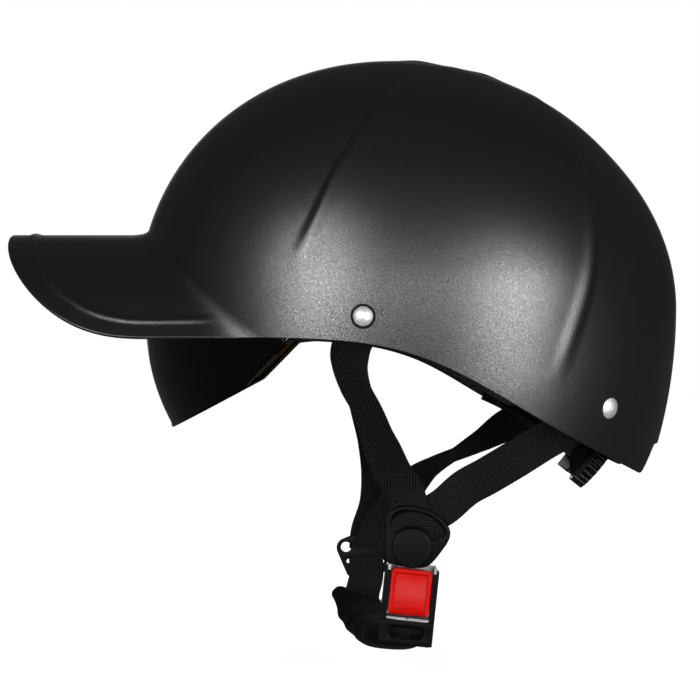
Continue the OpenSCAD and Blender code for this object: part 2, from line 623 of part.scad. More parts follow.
// Places along the buckle, below the disc
button_top = -9.9;
button_end = button_top - button_h;
bridge_z = button_end - 1.2;
bridge_t = 1;
bar_z = -39.8;
bar_r = 2.2;
bar_y = 3;
frame_top = -8.7;
frame_end = -44.8;
tooth_top = -17.2;
tooth_h = 5;
tooth_w = 6;
tongue_end = -28.8;
button_y0 = -5.6;
latch_t = 1.3;
latch_y0 = tongue_y1 + 2 * slide_gap;
base_y0 = latch_y0 + latch_t + button_travel + slide_gap + 0.4;
flange_y0 = -4.6;
post_r = 0.8;
post_x = tongue_w / 2 + slide_gap + post_r;

// A block of the buckle between two corners
module block(x0, x1, y0, y1, z0, z1) {
    translate([x0, y0, z0]) cube([x1 - x0, y1 - y0, z1 - z0]);
}
module across_bar(r, x0, x1, y, z) {
    translate([x0, y, z]) rotate([0, 90, 0]) cylinder(r = r, h = x1 - x0);
}
module tongue_plate() {
    color("#c4c7ca") at_buckle() difference() {
        union() {
            translate([buckle_shift, 0, 0]) block(-tongue_w / 2, tongue_w / 2, tongue_y0, tongue_y1, tongue_end, 0);
            translate([0, tongue_y1, 0]) rotate([90, 0, 0]) cylinder(r = disc_r - 1, h = tongue_t);
        }
        translate([buckle_shift, 0, 0]) block(-tooth_w / 2 - slide_gap, tooth_w / 2 + slide_gap, tongue_y0 - 1,
            tongue_y1 + 1, tooth_top - tooth_h - slide_gap, tooth_top + slide_gap);
        translate([0, tongue_y1 + 1, 0]) rotate([90, 0, 0]) cylinder(r = pin_r + fit_gap, h = tongue_t + 2);
    }
}
cheek_pin_z = -26.8;
cheek_pin_y = 2;
cheek_pin_r = 1;
module buckle_frame() {
    half = frame_w / 2;
    color("#c9ccce") at_frame() difference() {
        union() {
            block(-half, half, base_y0, base_y0 + frame_t, bridge_z - bridge_t, frame_top);
            for (side = [-1, 1]) translate([side * (half - frame_t / 2), 0, 0])
                block(-frame_t / 2, frame_t / 2, flange_y0, base_y0 + frame_t, frame_end, frame_top);
            block(-half, half, flange_y0, base_y0 + frame_t, bridge_z - bridge_t, bridge_z);
        }
        across_bar(bar_r + fit_gap, -half - 1, half + 1, bar_y, bar_z);
        across_bar(cheek_pin_r + fit_gap, -half - 1, half + 1, cheek_pin_y, cheek_pin_z);
    }
}
cheek_t = 1.1;
module buckle_cheeks() {
    half = frame_w / 2 + face_gap;
    lip_y = flange_y0 - face_gap;
    color("#161617") at_frame() difference() {
        union() {
            for (side = [-1, 1]) translate([side * (half + cheek_t / 2), 0, 0])
                block(-cheek_t / 2, cheek_t / 2, lip_y - cheek_t, base_y0, frame_end - 1, button_top);
            block(-half - cheek_t, half + cheek_t, lip_y - cheek_t, lip_y, frame_end - 1, bridge_z - bridge_t);
        }
        block(-web_w / 2, web_w / 2, lip_y - cheek_t - 1, lip_y + 1, bar_z - 3.6, bar_z + 3.6);
        across_bar(cheek_pin_r + fit_gap, -half - 3, half + 3, cheek_pin_y, cheek_pin_z);
    }
}
module buckle_pins() {
    color("#d2d4d6") at_frame() for (side = [-1, 1])
        translate([side * (frame_w / 2 + 0.2), 0, 0])
            across_bar(cheek_pin_r, -frame_t - 0.1, frame_t + 0.1, cheek_pin_y, cheek_pin_z);
}
module web_bar() {
    color("#b9bcbe") at_frame() across_bar(bar_r, -frame_w / 2, frame_w / 2, bar_y, bar_z);
}
module release_button() {
    scoop_r = 16; // radius of the thumb scoop
    scoop_deep = 1.6;
    color("#d8261c") at_frame() {
        difference() {
            translate([0, button_y0 + button_t, 0]) rotate([90, 0, 0]) linear_extrude(height = button_t)
                translate([-button_w / 2 + 2, button_end + 2]) offset(r = 2) square([button_w - 4, button_h - 4]);
            across_bar(scoop_r, -button_w / 2 + 2.5, button_w / 2 - 2.5, button_y0 - scoop_r + scoop_deep,
                button_end + button_h * 0.42);
        }
        for (side = [-1, 1]) translate([side * post_x, latch_y0 - eps, tooth_top])
            rotate([90, 0, 0]) cylinder(r = post_r, h = latch_y0 - button_y0 - button_t);
    }
}
module latch_plate() {
    color("#aeb1b4") at_frame() {
        block(-post_x - post_r, post_x + post_r, latch_y0 + face_gap, latch_y0 + latch_t, tooth_top - tooth_h - 3, tooth_top + 3);
        block(-tooth_w / 2, tooth_w / 2, tongue_y0 + 0.1, latch_y0 + latch_t, tooth_top - tooth_h, tooth_top);
    }
}
module return_spring() {
    leaf_t = 0.3;
    color("#9ea1a4") at_frame() block(-3, 3, base_y0 - leaf_t - 0.05, base_y0 - 0.05, tooth_top - tooth_h - 4, tooth_top + 4);
}

// Chin strap: from the right divider under the chin, then round the buckle's bar
wrap_r = bar_r + layer_gap + web_t / 2;
chin_run = [[[-15, 50.5, -143], [1, 0, -0.1]], [[-15, 41, -152], [1, 0, -0.1]], [[-10, 24, -158], [1, 0, -0.1]],
    [[-3, 2, -161], [1, 0, -0.1]], [[1, -20, -160], [1, 0, -0.1]], [[3, -40, -154.6], [1, 0, -0.1]]];
chin_stops = concat([[[far_divider_x, far_in, far_divider_z - 2], [1, 0, 0]],
    [[far_divider_x, far_in - 0.2, far_divider_z - 12], [1, 0, 0]]], chin_run,
    [for (a = [270:-25:70]) [buckle_point(buckle_shift, bar_y + wrap_r * cos(a), bar_z + wrap_r * sin(a)), buckle_dir(1, 0, 0)]]);
module chin_strap() {
    color("#202022") ribbon(chin_stops, web_w, web_t);
}

// Chin pad: a crowned sleeve round the webbing, open underneath
pad_half_w = 15.5;
pad_above = 9;
pad_below = 5;
module chin_pad() {
    run = smoothed(chin_run, 4);
    path = [for (i = [1:16]) run[i]];
    soft = function (v, k) sign(v) * pow(abs(v), k);
    swell = function (i) 0.76 + 0.24 * pow(max(0, sin(180 * (i + 0.4) / 15.8)), 0.6);
    angles = [for (k = [0:14]) -55 + k * 290 / 14];
    clear_w = web_w / 2 + 0.4;
    clear_t = web_t / 2 + 0.4;
    color("#2b2b2d") sweep(carried(path, [for (i = [0:15]) concat(
        [for (t = angles) [pad_half_w * swell(i) * soft(cos(t), 0.7),
            (t > 0 && t < 180 ? pad_above : pad_below) * swell(i) * soft(sin(t), 0.8)]],
        [for (k = [14:-1:0]) [clear_w * max(-1, min(1, 1.7 * cos(angles[k]))),
            clear_t * max(-1, min(1, 1.7 * sin(angles[k])))]])]));
}

// Right divider: a flat plate with two large and two small holes
module divider_right() {
    color("#1b1b1c") translate([far_divider_x, far_divider_y + far_plate_t / 2, far_divider_z]) rotate([90, 0, 0])
        difference() {
            linear_extrude(height = far_plate_t) hull() for (p = [[-10.5, 3.5], [11, 3.5], [-8, -7], [7, -7]])
                translate(p) circle(r = 4.2);
            for (x = [-10, 11]) translate([x, 3.4, -1]) cylinder(r = 2.5, h = far_plate_t + 2);
            for (x = [-9, 8.5]) translate([x, -4.4, -1]) cylinder(r = 1.1, h = far_plate_t + 2);
        }
}

// The fit unit's frame: z outwards along the dial's axis, y across the helmet, x down and forwards
module at_dial() {
    translate([dial_x, 0, dial_z]) rotate([0, dial_angle, 0]) children();
}
function dial_point(x, y, z) = [dial_x + x * cos(dial_angle) + z * sin(dial_angle), y,
    dial_z - x * sin(dial_angle) + z * cos(dial_angle)];
cover_plate_t = 1.8;
cover_z0 = -cover_plate_t - face_gap;
rack_top = cover_z0 - slide_gap;
rack_end_z = rack_top - rack_t;
housing_floor = 1.4;
housing_z0 = rack_end_z - slide_gap - housing_floor;
housing_half_x = 12;
housing_half_y = 24;
shaft_r = 3;
screw_r = 1.5;
screw_head_r = 3.2;
screw_head_h = 1.6;
pitch = 2 * PI * pinion_r / pinion_teeth;
tooth_half = 0.2 * pitch; // half a tooth's thickness on the pitch line
tooth_slope = tan(20);
rack_back = 2.6; // depth of a rack behind its teeth
rack_x0 = pinion_r + tooth_in;
rack_reach = 36.5;
knurls = 28;
module fit_housing() {
    color("#19191a") at_dial() difference() {
        translate([-housing_half_x, -housing_half_y, housing_z0])
            cube([2 * housing_half_x, 2 * housing_half_y, cover_z0 - face_gap - housing_z0]);
        pocket = rack_x0 + rack_back + slide_gap;
        translate([-pocket, -housing_half_y - 1, housing_z0 + housing_floor])
            cube([2 * pocket, 2 * housing_half_y + 2, 20]);
    }
}
module fit_cover() {
    color("#1e1e1f") at_dial() difference() {
        translate([-housing_half_x, -housing_half_y, cover_z0])
            cube([2 * housing_half_x, 2 * housing_half_y, cover_plate_t]);
        translate([0, 0, cover_z0 - 1]) cylinder(r = shaft_r + run_gap, h = cover_plate_t + 2);
    }
}
module fit_dial() {
    color("#141415") at_dial() difference() {
        translate([0, 0, slide_gap]) cylinder(r = dial_r, h = dial_t);
        for (k = [0:knurls - 1]) rotate(k * 360 / knurls) translate([dial_r + 0.5, 0, -1])
            cylinder(r = 1.2, h = dial_t + 3, $fn = 16);
        translate([0, 0, -1]) cylinder(r = screw_r + fit_gap, h = dial_t + 3);
        translate([0, 0, slide_gap + dial_t - screw_head_h - 0.4]) cylinder(r = screw_head_r + fit_gap, h = dial_t);
    }
}
module dial_screw() {
    top = slide_gap + dial_t - screw_head_h - 0.4 + face_gap;
    color("#b9bcbe") at_dial() difference() {
        union() {
            translate([0, 0, rack_end_z + 0.6]) cylinder(r = screw_r, h = top - rack_end_z - 0.6 + eps);
            translate([0, 0, top]) cylinder(r = screw_head_r, h = screw_head_h);
        }
        for (turn = [0, 90]) rotate(turn) translate([-2, -0.35, top + 0.8]) cube([4, 0.7, 2]);
    }
}
module dial_pinion() {
    color("#d8d8d4") at_dial() difference() {
        union() {
            translate([0, 0, rack_end_z]) linear_extrude(height = rack_t) union() {
                circle(r = pinion_r - tooth_in);
                for (k = [0:pinion_teeth - 1]) rotate(k * 360 / pinion_teeth)
                    polygon([[0, -1.5 * tooth_half], [pinion_r - tooth_in, -1.4 * tooth_half],
                        [pinion_r, -0.95 * tooth_half], [pinion_r + tooth_out, -0.45 * tooth_half],
                        [pinion_r + tooth_out, 0.45 * tooth_half], [pinion_r, 0.95 * tooth_half],
                        [pinion_r - tooth_in, 1.4 * tooth_half], [0, 1.5 * tooth_half]]);
            }
            translate([0, 0, rack_top - eps]) cylinder(r = shaft_r, h = slide_gap - face_gap - rack_top + eps);
        }
        translate([0, 0, rack_end_z + 0.4]) cylinder(r = screw_r + run_gap, h = 20);
    }
}

// The left rack, on the pinion's lower side; its teeth face the pinion
module rack() {
    first = floor((-rack_travel - 3) / pitch);
    last = ceil(3 / pitch);
    root = tooth_half + tooth_in * tooth_slope;
    tip = tooth_half - tooth_out * tooth_slope;
    far_end = (last + 0.5) * pitch + root + 0.5;
    translate([0, 0, rack_end_z]) linear_extrude(height = rack_t) polygon(concat(
        [[rack_x0, far_end], [rack_x0 + rack_back, far_end], [rack_x0 + rack_back, -rack_reach], [rack_x0, -rack_reach]],
        [for (k = [first:last]) let (y = (k + 0.5) * pitch) each
            [[rack_x0, y - root], [pinion_r - tooth_out, y - tip], [pinion_r - tooth_out, y + tip], [rack_x0, y + root]]]));
}
module rack_left() {
    color("#262628") at_dial() rack();
}
module rack_right() {
    color("#262628") at_dial() rotate(180) rack();
}
band_t = 1.6;
band_w = 11;
band_start = housing_half_y + rack_travel + 0.9; // clear of the housing when drawn in
rack_mid_x = rack_x0 + rack_back / 2;
band_z = rack_end_z - face_gap - band_t / 2;
band_side = liner_in[2] - 17.5; // how far out the headband lies at its ends
band_run = [[[86, 11 - band_side, -62], [-0.3, 0, -0.95]], [[77, 7.5 - band_side, -53], [-0.1, -0.1, -0.98]],
    [[64, 2.5 - band_side, -43], [0, -0.2, -0.97]], [[50, -band_side, -36], [0, -0.2, -0.97]]];
module headband_left() {
    start = [for (y = [-band_start, -band_start - 5.5, -band_start - 10]) [dial_point(rack_mid_x + 1, y, band_z), dial_point(1, 0, 0) - dial_point(0, 0, 0)]];
    color("#222224") ribbon(concat(start, band_run), band_w, band_t);
}
module headband_right() {
    start = [for (y = [band_start, band_start + 5.5, band_start + 10]) [dial_point(-rack_mid_x - 1, y, band_z), dial_point(-1, 0, 0) - dial_point(0, 0, 0)]];
    color("#222224") ribbon(concat(start, mirrored(band_run)), band_w, band_t);
}

// Bracket from the fit unit up the liner's inside
bracket_t = 1.5;
bracket_w = 18;
bracket_step = 12; // half its length on the liner
function bracket_x(z) = liner_in[1] * sqrt(1 - pow((z - dome_z) / liner_in[4], 2) - pow(bracket_w / 2 / liner_in[2], 2))
    - bracket_t / 2 - 0.9;
module fit_bracket() {
    foot = dial_point(-housing_half_x - 0.3 - bracket_t / 2, 0, housing_z0 + 2);
    head = [for (z = [liner_nape_z, liner_nape_z + bracket_step, liner_nape_z + 2 * bracket_step]) [[bracket_x(z), 0, z], [0, 1, 0]]];
    color("#19191a") ribbon(concat([[foot, [0, 1, 0]]], head), bracket_w, bracket_t);
}

outer_shell();
eps_liner();
crown_pad();
brow_pad();
side_pad_left();
side_pad_right();
visor_lens();
pivot_rivets();
pivot_head_washers();
pivot_spacers();
pivot_inner_washers();
pivot_nuts();
rear_rivets();
rear_rivet_washers();
strap_front_left();
strap_front_right();
strap_rear_left();
strap_rear_right();
divider_left();
divider_cap();
tongue_plate();
divider_right();
buckle_frame();
buckle_cheeks();
release_button();
latch_plate();
return_spring();
buckle_pins();
web_bar();
chin_strap();
chin_pad();
fit_housing();
fit_cover();
fit_dial();
dial_pinion();
dial_screw();
rack_left();
rack_right();
headband_left();
headband_right();
fit_bracket();
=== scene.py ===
import math

import bmesh
import bpy
import numpy as np
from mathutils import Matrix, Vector


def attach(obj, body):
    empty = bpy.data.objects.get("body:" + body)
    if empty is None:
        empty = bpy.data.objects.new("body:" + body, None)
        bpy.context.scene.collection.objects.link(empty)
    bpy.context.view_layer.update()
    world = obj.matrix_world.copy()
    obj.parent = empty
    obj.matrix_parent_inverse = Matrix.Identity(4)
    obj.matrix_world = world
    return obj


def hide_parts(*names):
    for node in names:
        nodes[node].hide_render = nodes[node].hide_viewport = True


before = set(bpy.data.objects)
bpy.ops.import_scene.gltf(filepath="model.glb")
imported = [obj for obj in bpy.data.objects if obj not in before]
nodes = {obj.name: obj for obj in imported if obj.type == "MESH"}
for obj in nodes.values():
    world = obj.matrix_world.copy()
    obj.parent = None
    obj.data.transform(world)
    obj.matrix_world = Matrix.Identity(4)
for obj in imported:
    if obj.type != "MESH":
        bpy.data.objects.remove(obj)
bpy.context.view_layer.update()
scene = bpy.context.scene
mm = 0.001

print("1 helpers")


def smoothStep(low, high, x):  # 0 below low, 1 above high, 3t^2 - 2t^3 between
    t = np.clip((x - low) / (high - low), 0, 1)
    return t * t * (3 - 2 * t)


def bump(x, centre, half):  # 1 at the centre, falling smoothly to 0 at half away
    return smoothStep(half, 0, np.abs(x - centre))


def within(x, foot, low, high, top):  # 1 from low to high, falling smoothly to 0 at foot and top
    return smoothStep(foot, low, x) * smoothStep(top, high, x)


def softPlus(x, width):  # width * ln(1 + e^(x / width))
    return width * np.logaddexp(0, x / width)


def smoothMax(a, b, width):  # the larger of two, plus h^2 / 4 width where they differ by less than width
    h = np.maximum(width - np.abs(a - b), 0)
    return np.maximum(a, b) + h * h / (4 * width)


def unit(v):  # each vector divided by its length
    return v / np.maximum(np.linalg.norm(v, axis=-1, keepdims=True), 1e-9)


def meshPiece(name, points, faces, material, uv=None, sharpAngle=None):
    # Points in mm and faces as lists of corner numbers, made one smooth object
    mesh = bpy.data.meshes.new(name)
    mesh.from_pydata(np.asarray(points, float) * mm, [], [list(f) for f in faces])
    if uv is not None:
        layer = mesh.uv_layers.new(name="UVMap")
        corners = np.empty(len(mesh.loops), np.int32)
        mesh.loops.foreach_get("vertex_index", corners)
        layer.data.foreach_set("uv", np.asarray(uv, np.float32)[corners].ravel())
    shape = bmesh.new()  # every closed part's faces turned outwards
    shape.from_mesh(mesh)
    bmesh.ops.recalc_face_normals(shape, faces=shape.faces)
    shape.to_mesh(mesh)
    shape.free()
    mesh.polygons.foreach_set("use_smooth", np.ones(len(mesh.polygons), bool))
    if sharpAngle is not None:
        mesh.set_sharp_from_angle(angle=math.radians(sharpAngle))
    mesh.materials.append(material)
    piece = bpy.data.objects.new(name, mesh)
    scene.collection.objects.link(piece)
    return piece


def gridFaces(rows, cols, closed=False, start=0, flip=False):
    # Four-cornered faces between neighbours of a rows x cols grid; closed joins the last column to the first
    i, j = np.meshgrid(np.arange(rows - 1), np.arange(cols if closed else cols - 1), indexing="ij")
    a = i * cols + j
    b = i * cols + (j + 1) % cols
    quads = np.stack([a, b, b + cols, a + cols], -1).reshape(-1, 4) + start
    return [tuple(f) for f in (quads[:, ::-1] if flip else quads)]


def tubeFaces(rows, cols):
    # A grid closed round its columns, with a fan at each end to the two points that follow the grid
    top, last = (rows - 1) * cols, rows * cols
    faces = gridFaces(rows, cols, closed=True)
    faces += [(j, last, (j + 1) % cols) for j in range(cols)]
    return faces + [(top + j, top + (j + 1) % cols, last + 1) for j in range(cols)]


def slabFaces(rows, cols, flip=False):
    # Two grids of one size, the second after the first, joined all along their borders
    count = rows * cols
    border = [j for j in range(cols)] + [i * cols + cols - 1 for i in range(1, rows)]
    border += [(rows - 1) * cols + j for j in range(cols - 2, -1, -1)]
    border += [i * cols for i in range(rows - 2, 0, -1)]
    faces = gridFaces(rows, cols, flip=flip) + gridFaces(rows, cols, start=count, flip=not flip)
    return faces + [(a, b, b + count, a + count) for a, b in zip(border, border[1:] + border[:1])]


def joined(parts):
    # Several (points, faces) as one pair, with the face numbers moved up
    points, faces, count = [], [], 0
    for p, f in parts:
        p = np.asarray(p, float).reshape(-1, 3)
        points.append(p)
        faces += [[c + count for c in face] for face in f]
        count += len(p)
    return np.concatenate(points), faces


def bowl(outer, inner, topOut, topIn, lip):
    # Two walls of rings joined by lip rings round the edge, closed at the crown; a lip ring lies at
    # half * cos^square outwards and half * drop * sin^square below the edge's middle
    drop, square = lip["lipDrop"], lip["lipSquare"]
    outward = unit(outer[0] - inner[0])
    tangent = unit(np.roll(outer[0], -1, 0) - np.roll(outer[0], 1, 0))
    down = unit(np.cross(tangent, outward))
    down = np.where((np.sum(down * (outer[0] - outer[1]), 1) > 0)[:, None], down, -down)
    mid = (outer[0] + inner[0]) / 2
    half = np.linalg.norm(outer[0] - inner[0], axis=1)[:, None] / 2
    turns = np.linspace(np.pi, 0, lip["lipRings"] + 2)[1:-1]
    edge = [mid + outward * half * np.sign(math.cos(t)) * abs(math.cos(t)) ** square
            + down * half * drop * math.sin(t) ** square for t in turns]
    rings = np.concatenate([inner[::-1], edge, outer])
    points = np.concatenate([rings.reshape(-1, 3), [[0, 0, topIn], [0, 0, topOut]]])
    return points, tubeFaces(*rings.shape[:2])


def dress(node, material):
    # A node whose shape is right takes this material
    for s in nodes[node].material_slots:
        s.material = material
    if not nodes[node].material_slots:
        nodes[node].data.materials.append(material)


def settle(piece, body, slot, *replaced):
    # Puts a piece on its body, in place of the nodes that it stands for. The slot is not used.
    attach(piece, body)
    if replaced:
        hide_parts(*replaced)


print("2 materials")


def linear(code):  # sRGB hex to linear colour, alpha 1
    parts = np.array([int(code[k:k + 2], 16) for k in (1, 3, 5)]) / 255
    low = parts / 12.92
    high = ((parts + 0.055) / 1.055) ** 2.4
    return (*np.where(parts <= 0.04045, low, high), 1)


def grey(value):  # a linear grey, alpha 1
    return (value, value, value, 1)


def cells(size):  # the scale of a noise or Voronoi texture for grain of this size, to the nearest ten a metre
    return round(1 / (size * mm), -1)


def waves(period):  # the Wave texture repeats every 2 pi / 20 of its scaled coordinate
    return 2 * math.pi / (20 * period * mm)


def newFinish(name, **sockets):
    # A material with its Principled shader's own sockets set
    material = bpy.data.materials.new(name)
    material.use_nodes = True
    for key, value in sockets.items():
        material.node_tree.nodes["Principled BSDF"].inputs[key.replace("_", " ")].default_value = value
    return material


def addNode(owner, kind, settings=None, links=None):
    # One node with values set on itself, its ramp or its inputs, and inputs linked from other nodes' outputs
    tree = owner.node_tree
    node = tree.nodes.new(kind)
    for key, value in (settings or {}).items():
        if key == "stops":
            for element, stop in zip(node.color_ramp.elements, value):
                element.position, element.color = stop
        elif isinstance(key, str) and hasattr(node, key):
            setattr(node, key, value)
        else:
            node.inputs[key].default_value = value
    for key, (source, output) in (links or {}).items():
        tree.links.new(source.outputs[output], node.inputs[key])
    return node


def feed(owner, node, output, target, *sockets):
    # Links an output to sockets of a node that the tree already has
    for socket in sockets:
        owner.node_tree.links.new(node.outputs[output], owner.node_tree.nodes[target].inputs[socket])


def varyGloss(material, size, detail, spread, low, high):
    # Noise in grains of this size moves the roughness between low and high
    place = addNode(material, "ShaderNodeTexCoord")
    noise = addNode(material, "ShaderNodeTexNoise", {"Scale": cells(size), "Detail": detail},
                    {"Vector": (place, "Object")})
    stops = [(0.5 - spread, grey(low)), (0.5 + spread, grey(high))]
    rough = addNode(material, "ShaderNodeValToRGB", {"stops": stops}, {"Fac": (noise, "Fac")})
    feed(material, rough, "Color", "Principled BSDF", "Roughness")


def raiseGrain(material, kind, settings, output, strength, depth):
    # A texture over the piece's own coordinates stands out by the depth, in mm, times the strength
    place = addNode(material, "ShaderNodeTexCoord")
    texture = addNode(material, kind, settings, {"Vector": (place, "Object")})
    relief = addNode(material, "ShaderNodeBump", {"Strength": strength, "Distance": depth * mm},
                     {"Height": (texture, output)})
    feed(material, relief, "Normal", "Principled BSDF", "Normal")


# Shell: satin black lacquer over moulded ABS. A pearl grit, drawn 0.4 mm coarse so that it shows,
# makes its highlights sparkle softly: it moves the gloss, the clear coat and a shallow relief.
satinLacquer = newFinish("satin_black_lacquer", Base_Color=linear("#0a0a0b"), Coat_Roughness=0.42)
place = addNode(satinLacquer, "ShaderNodeTexCoord")
grit = addNode(satinLacquer, "ShaderNodeTexNoise", {"Scale": cells(0.417), "Detail": 2.0, "Roughness": 0.6},
               {"Vector": (place, "Object")})
fineBump = addNode(satinLacquer, "ShaderNodeBump", {"Strength": 0.5, "Distance": 0.16 * mm},
                   {"Height": (grit, "Fac")})
feed(satinLacquer, fineBump, "Normal", "Principled BSDF", "Normal", "Coat Normal")
speck = addNode(satinLacquer, "ShaderNodeValToRGB", {"stops": [(0.36, grey(0.20)), (0.66, grey(0.34))]},
                {"Fac": (grit, "Fac")})
feed(satinLacquer, speck, "Color", "Principled BSDF", "Roughness")
pearl = addNode(satinLacquer, "ShaderNodeValToRGB", {"stops": [(0.40, grey(1.0)), (0.60, grey(0.35))]},
                {"Fac": (grit, "Fac")})
feed(satinLacquer, pearl, "Color", "Principled BSDF", "Coat Weight", "Specular IOR Level")

# Foam: black expanded beads, 3 mm across, moulded to a skin; each bead catches its own light
foamBeads = newFinish("expanded_bead_foam", Base_Color=linear("#101012"), Roughness=0.62)
place = addNode(foamBeads, "ShaderNodeTexCoord")
beads = addNode(foamBeads, "ShaderNodeTexVoronoi", {"Scale": cells(3.0), "feature": "DISTANCE_TO_EDGE"},
                {"Vector": (place, "Object")})
beadEdge = addNode(foamBeads, "ShaderNodeValToRGB", {"stops": [(0.0, grey(0.0)), (0.10, grey(1.0))]},
                   {"Fac": (beads, "Distance")})
beadBump = addNode(foamBeads, "ShaderNodeBump", {"Strength": 0.5, "Distance": 0.6 * mm},
                   {"Height": (beadEdge, "Color")})
feed(foamBeads, beadBump, "Normal", "Principled BSDF", "Normal")

# Lining: knitted polyester over the pads, loops 1.1 mm apart; matt, with a faint sheen on the turned edges
knitLining = newFinish("knitted_polyester", Base_Color=linear("#1d1d20"), Roughness=0.9,
                       Sheen_Weight=0.15, Sheen_Roughness=0.5)
raiseGrain(knitLining, "ShaderNodeTexVoronoi", {"Scale": cells(1.11)}, "Distance", 0.6, 0.4)

# Visor: moulded polycarbonate with a dark brown tint; hard, glossy and clear, so its back shows through
smokedLens = newFinish("smoked_polycarbonate", Base_Color=linear("#20170f"), Roughness=0.04, IOR=1.58,
                       Transmission_Weight=1.0)

# Rivets: nickel-plated steel with a satin face, so each head shows one broad soft light
platedSteel = newFinish("nickel_plated_steel", Base_Color=linear("#e4e4e0"), Metallic=0.85)
varyGloss(platedSteel, 1.11, 3.0, 0.15, 0.42, 0.62)

# Buckle frame and hidden fittings: tumbled zinc-plated steel, brighter and darker in 4 mm patches
tumbledSteel = newFinish("tumbled_zinc_steel", Base_Color=linear("#b4b5b6"), Metallic=1.0)
varyGloss(tumbledSteel, 3.85, 4.0, 0.15, 0.26, 0.46)

# Moulded nylon: black, with a fine spark texture that breaks up its low gloss
mouldedNylon = newFinish("moulded_black_nylon", Base_Color=linear("#060606"), Roughness=0.38,
                         Specular_IOR_Level=0.09)
raiseGrain(mouldedNylon, "ShaderNodeTexNoise", {"Scale": cells(0.555), "Detail": 2.0}, "Fac", 0.3, 0.2)

# Dial: the same black nylon, moulded glossy, so the knurls catch the lamps as bright ticks
glossyNylon = newFinish("glossy_black_nylon", Base_Color=linear("#070707"), Specular_IOR_Level=0.7)
varyGloss(glossyNylon, 3.3, 3.0, 0.15, 0.15, 0.30)

# Button: moulded red acetal, glossy, a little duller where thumbs have rubbed it
redAcetal = newFinish("red_acetal", Base_Color=linear("#a80c05"), Specular_IOR_Level=0.2)
varyGloss(redAcetal, 8.3, 3.0, 0.15, 0.14, 0.26)

# Pinion: uncoloured moulded nylon, waxy and off-white
naturalNylon = newFinish("natural_nylon", Base_Color=linear("#d8d6cc"))
varyGloss(naturalNylon, 2.0, 2.0, 0.2, 0.34, 0.5)

# Webbing: black nylon in a twill of 1.15 mm ribs that lean across the band, crossed by 1.3 mm picks; both
# are drawn coarser than real yarn so that the weave shows as a fine dark grid. Its own UV runs in metres:
# u along the band, v across it.
nylonWebbing = newFinish("woven_nylon_webbing", Roughness=0.55, Specular_IOR_Level=0.08,
                         Sheen_Weight=0.03, Sheen_Roughness=0.4)
band = addNode(nylonWebbing, "ShaderNodeUVMap", {"uv_map": "UVMap"})
threads = []
for lean, period in ((38, 1.15), (-52, 1.3)):
    turned = addNode(nylonWebbing, "ShaderNodeMapping", {"Rotation": (0, 0, math.radians(lean))},
                     {"Vector": (band, "UV")})
    threads.append(addNode(nylonWebbing, "ShaderNodeTexWave", {"Scale": waves(period)},
                           {"Vector": (turned, "Vector")}))
weave = addNode(nylonWebbing, "ShaderNodeMath", {"operation": "MULTIPLY"},
                {0: (threads[0], "Fac"), 1: (threads[1], "Fac")})
weaveBump = addNode(nylonWebbing, "ShaderNodeBump", {"Strength": 0.6, "Distance": 0.5 * mm},
                    {"Height": (weave, "Value")})
feed(nylonWebbing, weaveBump, "Normal", "Principled BSDF", "Normal")
# Painted highlight and painted shade: the base colour follows the weave's height, near black in the hollows
# between the ribs and dark grey on their crests
paintedWeaveShading = addNode(nylonWebbing, "ShaderNodeValToRGB",
               {"stops": [(0.15, linear("#030303")), (0.9, linear("#20201f"))]}, {"Fac": (weave, "Value")})
feed(nylonWebbing, paintedWeaveShading, "Color", "Principled BSDF", "Base Color")

# Chin pad: brushed black neoprene cover, soft and matt, with a nap of 1.4 mm
neopreneCover = newFinish("brushed_neoprene", Base_Color=linear("#060606"), Roughness=0.8,
                          Specular_IOR_Level=0.05, Sheen_Weight=0.02, Sheen_Roughness=0.5)
raiseGrain(neopreneCover, "ShaderNodeTexNoise", {"Scale": cells(1.43), "Detail": 4.0}, "Fac", 0.5, 0.4)

print("3 shell")

shell = {
    # Reach of the dome from its centre, which lies at widestZ
    "front": 127.0, "rear": 140.5, "side": 111.0, "up": 122.5, "down": 188.0,
    "widestZ": 6.0, "foreheadFull": 2.1, "crownFull": 1.925,
    "wall": 2.5, "lipRings": 5, "lipDrop": 0.35, "lipSquare": 1,
    "brimHalf": 90.0, "brimRise": 51.3, "brimEdgeZ": -9.0, "brimStartX": -112.0, "brimLength": 76.0,
    "brimSquare": 2.85, "brimAzimuth": 80, "brimSearch": (40.0, 230.0), "halvings": 24, "hemPasses": 7,
    "fillet": 9.0,
    "hemSlope": 0.66, "hemBendX": 8.0, "hemRound": 18.0, "hemTailX": 70.0, "hemTail": 0.16,
    "notchZ": -60.5, "notchHalf": 32.0, "notchBlend": 9.0,
    "cols": 480, "rows": 186, "innerRows": 18, "crowding": 1.8, "creaseSteps": 12,
    "ridgeInset": 10.5, "ridgeHeight": 0.85, "ridgeHalf": 3.0, "ridgeEnd": (-82, -96),  # line along the brim
    # Side panels between the two creases, growing upwards over a height that differs at each crease
    "panelRise": 1.35, "panelSoft": 1.3, "panelFrontZ": (26, 72), "panelRearZ": (-24, 22),
    "panelTopZ": (94, 116), "panelTopLoss": 0.85,
    # Beside the creases: a groove and raised streaks, each with its heights (foot, low, high, top)
    "grooveDeep": 0.35, "grooveHalf": 2.6, "grooveAhead": 0.6, "grooveZ": (28, 52, 100, 124),
    "streakRise": 0.6, "frontStreak": (2.6, 6.0), "frontStreakZ": (24, 40, 66, 112),
    "rearStreak": (3.0, 6.5), "rearStreakZ": (-34, -12, 44, 90),
    "hoodRise": 0.7, "hoodHalf": 18.0, "hoodSoft": 5.0, "hoodFootZ": 90, "hoodsX": ((12, 13), (45, 11)),
    "tuckDeep": 1.0, "tuckSpan": (0.0, 20.0, 34.0, 74.0), "tuckTopZ": (108, 70),  # behind the rear crease
}
